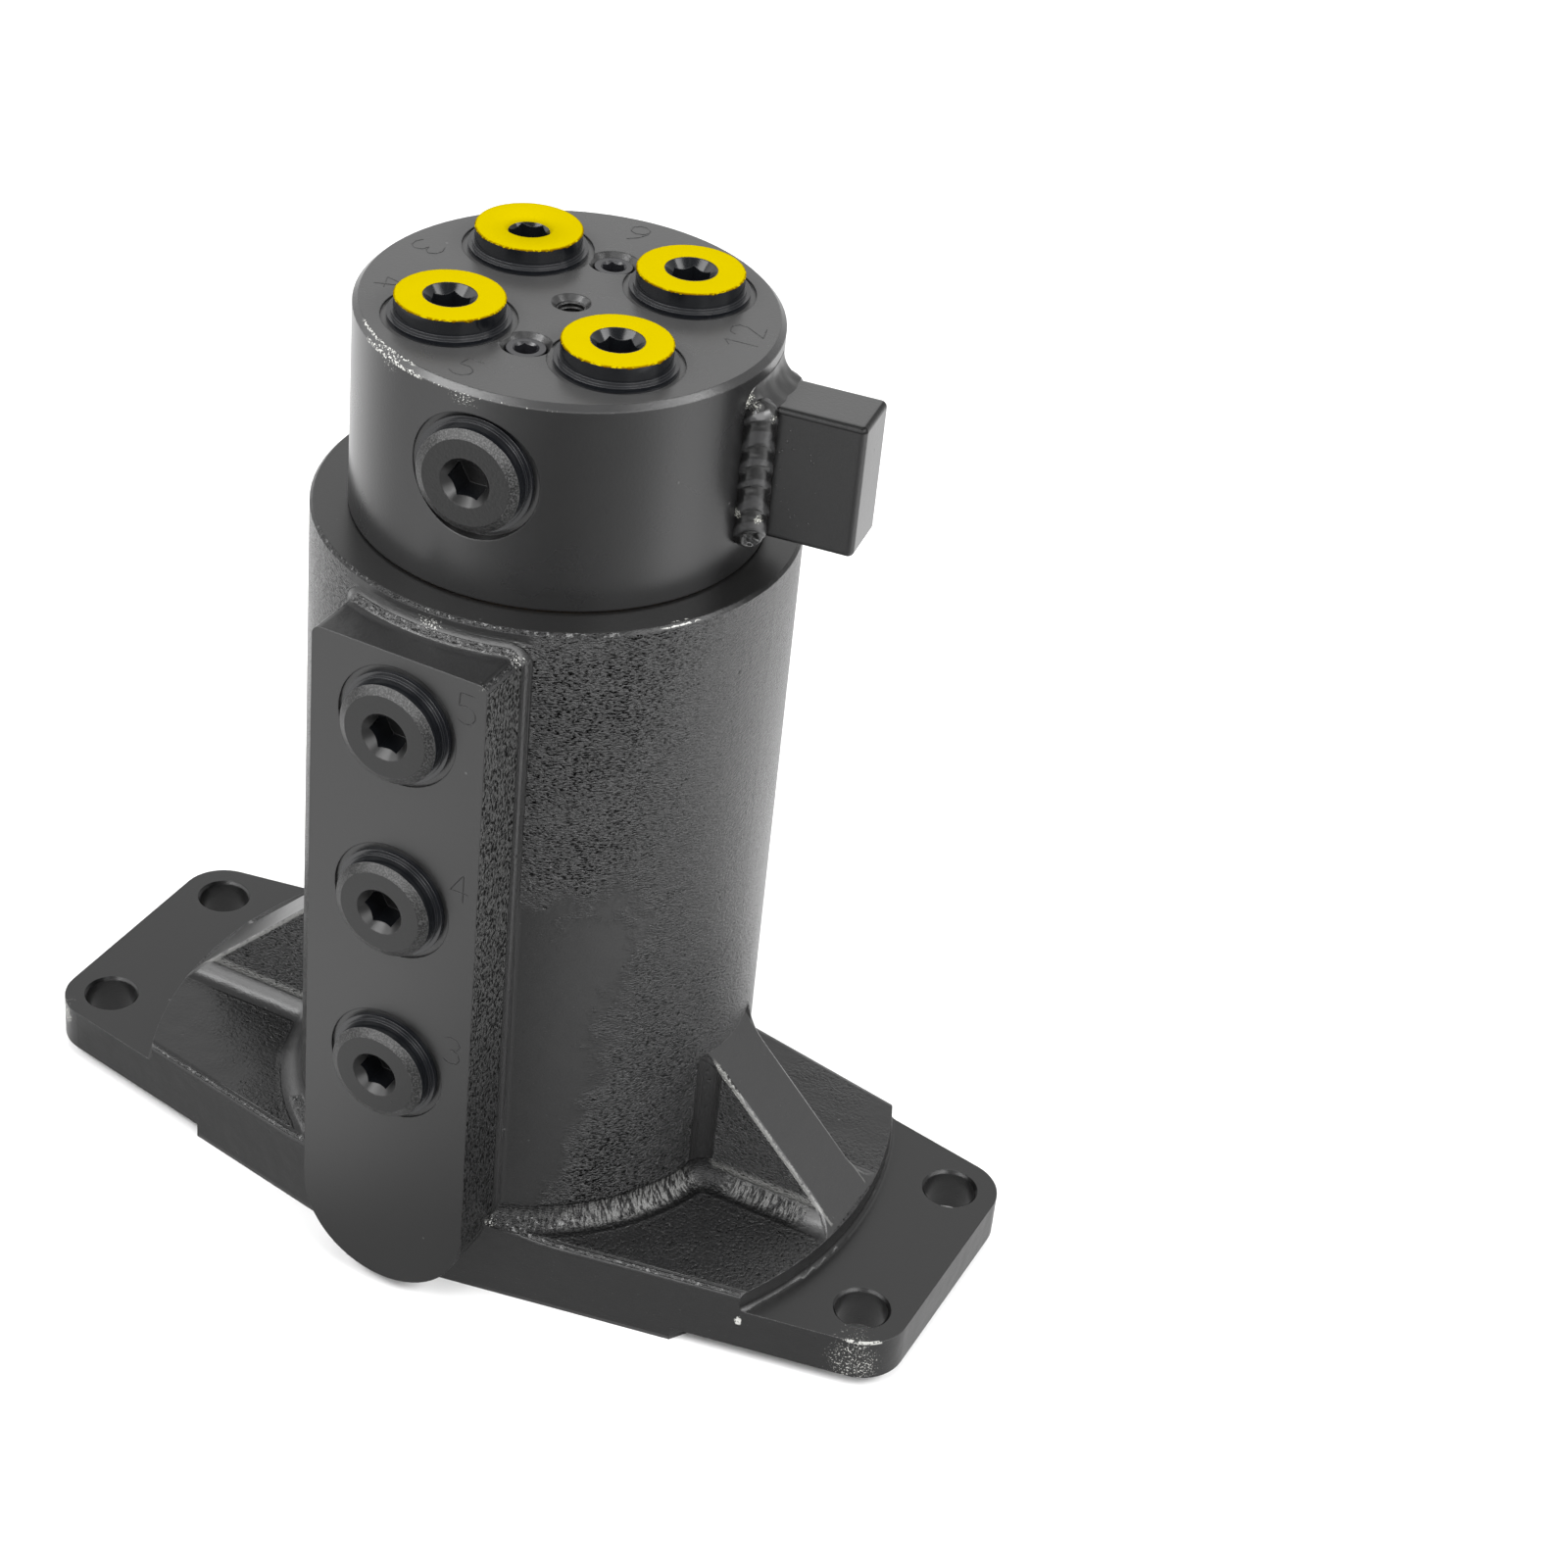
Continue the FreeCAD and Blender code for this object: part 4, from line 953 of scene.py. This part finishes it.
def stamp(name, digit, corner, across, up, width, tree, paint, body):
    """One number: its lower left corner, the ways across and up it, and its width."""
    lines = [[Vector(corner) + Vector(across) * (x * width) + Vector(up) * (y * STAMP_HEIGHT / 2)
              for x, y in line] for line in STROKES[digit]]
    made = grow(name, paths(name, lines), tree, Radius=0.15 * MM, Paint=paint)
    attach(made, body)


def stamped_numbers(tree, paint_head, paint_pad):
    for digit, angle in HEAD_STAMPS.items():
        turned = REST_ANGLE + math.radians(angle)
        outward = Vector((math.cos(turned), math.sin(turned), 0))
        across = Vector((-outward.y, outward.x, 0))
        middle = outward * 41.5 * MM + Vector((0, 0, HEAD_TOP - STAMP_SINK))
        corner = middle - across * 2.4 * MM + outward * 4 * MM
        stamp(f"stamp_head_{digit}", digit, corner, across, -outward, 4.8 * MM, tree, paint_head,
              "rotor")
    for digit, low in PAD_STAMPS.items():
        stamp(f"stamp_pad_{digit}", digit, (15.8 * MM, -PAD_FACE + STAMP_SINK, low * MM), (1, 0, 0),
              (0, 0, 1), 4.6 * MM, tree, paint_pad, "housing")


def lifting_thread(tree, paint):
    """The thread's crest in the lifting hole, one line wound down it."""
    turns = int((LIFTING_HOLE_DEPTH - 2 * MM) / LIFTING_PITCH)
    per_turn = 24
    points = []
    for i in range(turns * per_turn):
        angle = math.tau * i / per_turn
        depth = 1.4 * MM + LIFTING_PITCH * i / per_turn
        points.append((LIFTING_HOLE_RADIUS * math.cos(angle), LIFTING_HOLE_RADIUS * math.sin(angle),
                       HEAD_TOP - depth))
    thread = grow("lifting_thread", paths("thread_line", [points]), tree, Radius=0.36 * MM,
                  Spacing=0.6 * MM, Unevenness=0.0, Paint=paint)
    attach(thread, "rotor")


# Stage and lights

FLOOR_Z = cad_low.z
FLOOR_REACH = 4.0
SKY_LOW, SKY_HIGH, SKY_BEHIND = 1.3, 0.2, 1.1


def make_stage():
    scene = bpy.context.scene
    scene.view_settings.view_transform = "Standard"
    corners = [(x * FLOOR_REACH, y * FLOOR_REACH, FLOOR_Z) for x, y in ((-1, -1), (1, -1), (1, 1), (-1, 1))]
    floor = new_object("floor", new_mesh("floor", corners, [(0, 1, 2, 3)]))
    made, shader, _ = material("floor")
    feeds(shader, Base_Color=grey(0.9), Roughness=0.9)
    floor.data.materials.append(made)
    world = bpy.data.worlds.new("studio")
    scene.world = world
    world.use_nodes = True
    tent_sky(world.node_tree)


# The light tent: brightness by azimuth on its floor and on its wall

TENT_FLOOR = [(-180, 1.2), (-137, 1.6), (-100, 1.6), (-66, 1.1), (-45, 1.6), (-23, 2.05), (-8, 1.15),
              (12, 0.6), (28, 0.65), (46, 1.2), (69, 1.9), (90, 2.35), (115, 1.95), (130, 1.85),
              (157, 2.2), (180, 1.1)]
TENT_WALL = [(-180, 0), (-110, 0), (-85, 0.5), (-45, 1.0), (20, 1.0), (70, 0.8), (105, 0.5), (128, 0),
             (180, 0)]
TENT_RADIUS = 3.0
TENT_SIDES = 48
WALL_LOW, WALL_HIGH = 0.2, 3.6
WALL_LIGHT = 4.5
UNDER_FLANGE, BESIDE_FLANGE, BESIDE_EAR_END = 0.7, 0.62, 0.86


def by_azimuth(x, y, levels):
    """Brightness by direction, up to 3, and the direction; 0 degrees is straight in front."""
    turn = calc("ARCTAN2", x, y * -1.0)
    ramp = add(tree_of([x]), "ValToRGB", {"Fac": turn / math.tau + 0.5})
    stops = ramp.node.color_ramp.elements
    for _ in levels[2:]:
        stops.new(0.5)
    for stop, (azimuth, light) in zip(stops, levels):
        stop.position = azimuth / 360 + 0.5
        stop.color = grey(light / 3)
    return ramp["Color"] * 3.0, calc("DEGREES", turn)


def tent_card(name, corners, faces, light):
    """A card of the light tent that only gloss sees."""
    card = new_object(name, new_mesh(name, corners, faces))
    made, shader, where = material(name)
    feeds(shader, Base_Color=grey(0.0), Specular_IOR_Level=0.0, Emission_Strength=1.0,
          Emission_Color=light(*parts_of(where["Object"])))
    made.cycles.emission_sampling = "NONE"
    card.data.materials.append(made)
    card.visible_camera = card.visible_diffuse = card.visible_shadow = False


def floor_light(x, y, z):
    """Brighter at the sides than in front, dim beside the flange and under it."""
    level, azimuth = by_azimuth(x, y, TENT_FLOOR)
    side_x = abs(x)
    radius = away_from_axis(x, y)
    level *= 1.0 - step(radius, 0.2, 0.36) * band(azimuth, 22, 78, 12) * 0.45
    level *= 1.0 - step(radius, 0.30, 0.38) * band(azimuth, 108, 138, 8) * 0.38
    outside = strongest(abs(y) + side_x * FLANGE_SLOPE - FLANGE_APEX, side_x - EAR_REACH)
    level *= blend_value(step(outside, 10 * MM, 110 * MM), 0.6, 1.0)
    past_ear = step(side_x, EAR_REACH - 5 * MM, EAR_REACH + 3 * MM)
    beside = blend_value(past_ear, BESIDE_FLANGE, BESIDE_EAR_END)
    level = blend_value(step(outside, 60 * MM, 12 * MM), level, beside)
    return blend_value(step(outside, 0.0, -2 * MM), level, UNDER_FLANGE)


def front_sky(height):
    return blend_value(step(height, 0.45, 0.75), SKY_LOW, SKY_HIGH)


def wall_light(x, y, z):
    """A bright band at eye height in front, over the sky's own light."""
    level = by_azimuth(x, y, TENT_WALL)[0]
    height = z / calc("SQRT", z * z + TENT_RADIUS ** 2)
    shape = step(height, 0.12, 0.30) * step(height, 0.74, 0.56)
    return front_sky(height) + level * shape * WALL_LIGHT


def light_tent():
    rim = [direction(math.tau * i / TENT_SIDES, 0) * TENT_RADIUS for i in range(TENT_SIDES)]
    tent_card("tent_floor", [(p.x, p.y, FLOOR_Z + MM) for p in rim], [tuple(range(TENT_SIDES))], floor_light)
    front = [direction(math.radians(angle), 0) * TENT_RADIUS for angle in range(-120, 136, 4)]
    corners = [(p.x, p.y, z) for z in (WALL_LOW, WALL_HIGH) for p in front]
    count = len(front)
    faces = [(i, i + 1, i + 1 + count, i + count) for i in range(count - 1)]
    tent_card("tent_wall", corners, faces, wall_light)


def tent_sky(tree):
    """Bright low down, dim overhead; behind the joint the brightness reaches higher."""
    way = add(tree, "TexCoord")["Generated"]
    height = parts_of(way)[2]
    back = arrow("DOT_PRODUCT", way, (-math.sin(AZIMUTH), math.cos(AZIMUTH), 0))
    behind = blend_value(step(height, 0.75, 0.95), SKY_BEHIND, SKY_HIGH)
    feeds(tree.nodes["Background"].inputs, Color=(1, 1, 1, 1),
          Strength=blend_value(step(back, -0.1, 0.4), front_sky(height), behind))


def softbox(name, azimuth, elevation, distance, width, height, power):
    away = direction(math.radians(azimuth), math.radians(elevation))
    data = bpy.data.lights.new(name, "AREA")
    data.shape = "RECTANGLE"
    data.size, data.size_y = width, height
    data.energy = power
    lamp = new_object(name, data)
    lamp.location = TARGET + away * distance
    lamp.rotation_mode = "QUATERNION"
    lamp.rotation_quaternion = away.to_track_quat("Z", "Y")


make_camera()
make_stage()
light_tent()
softbox("softbox_right", 84, 44, 1.3, 1.2, 0.4, 17)
softbox("softbox_left", -28, 50, 1.3, 1.1, 0.34, 14)
softbox("softbox_top", 10, 84, 1.5, 1.0, 1.0, 9)

# Rubbed places and ring scratches of the head

HEAD_MARKS = [((1.5, -50.0, 244.6), 6.0, 0.34, 2.0), ((-20.0, -45.8, 244.6), 6.0, 0.30, 2.5)]
HEAD_SCRATCHES = [(50.0, 0.22, -127.0, -100.0, 245.5, 0.49), (48.8, 0.18, -135.0, -104.0, 247.0, 0.49),
                  (49.4, 0.22, -124.0, -108.0, 246.2, 0.56), (50.0, 0.15, -100.0, -62.0, 245.9, 0.61)]
FRONT = (0, -1, 0)
HEAD_FRONT = (math.sin(REST_ANGLE), -math.cos(REST_ANGLE), 0)
FILLED_PORT = 3

spindle_paint = painted_metal("machined_paint", marks=HEAD_MARKS, rings=HEAD_SCRATCHES)
housing_paint = cast_paint()
weld = weld_paint()

dress(["spindle"], spindle_paint)
dress(["housing"], housing_paint)
dress(["stop_lug"], painted_metal("bar_paint", roughness=0.33, raggedness=0.60, peel=0.04, edge=0.4,
                                  painted_edge_shade=0.75))
dress(named("top_plug_"), black_plug("top_plug", (0, 0, 1), satin_from=0.79, gloss=0.25))
dress(named("side_plug_"), black_plug("side_plug", HEAD_FRONT, 0.08))
dress(named("plug_"), black_plug("black_plug", FRONT))
dress(named("top_washer", "side_washer", "washer"), plain_finish("washer", (0.006, 0.0065, 0.008), 0.18))
dress(named("taper_plug_"), plain_finish("taper_plug", (0.012, 0.012, 0.014), 0.22))
dress(named("slip_ring"), plain_finish("slip_ring", (0.25, 0.13, 0.05), 0.45, scale=900.0))
dress(named("energizer", "dust_seal", "cover_o_ring"),
      plain_finish("seal_rubber", (0.015, 0.015, 0.015), 0.6, scale=900.0))
dress(["thrust_ring"], plain_finish("bearing_bronze", (0.55, 0.34, 0.14), 0.35, 1.0))
dress(["retaining_washer", "snap_ring"], plain_finish("spring_steel", (0.25, 0.25, 0.26), 0.35, 1.0))
dress(["bottom_cover"], painted_metal("cover_paint"))
dress(named("cover_screw"), plain_finish("screw_steel", (0.03, 0.03, 0.032), 0.3, 0.6))

yellow = port_yellow()
for port in (1, 2, 3, 4):
    paint_coat(port, port == FILLED_PORT, yellow)
lug_weld(weld)
weld_spatter(weld)
line_tree = make_drawn_line()
stamped_numbers(line_tree, spindle_paint, housing_paint)
lifting_thread(line_tree, spindle_paint)
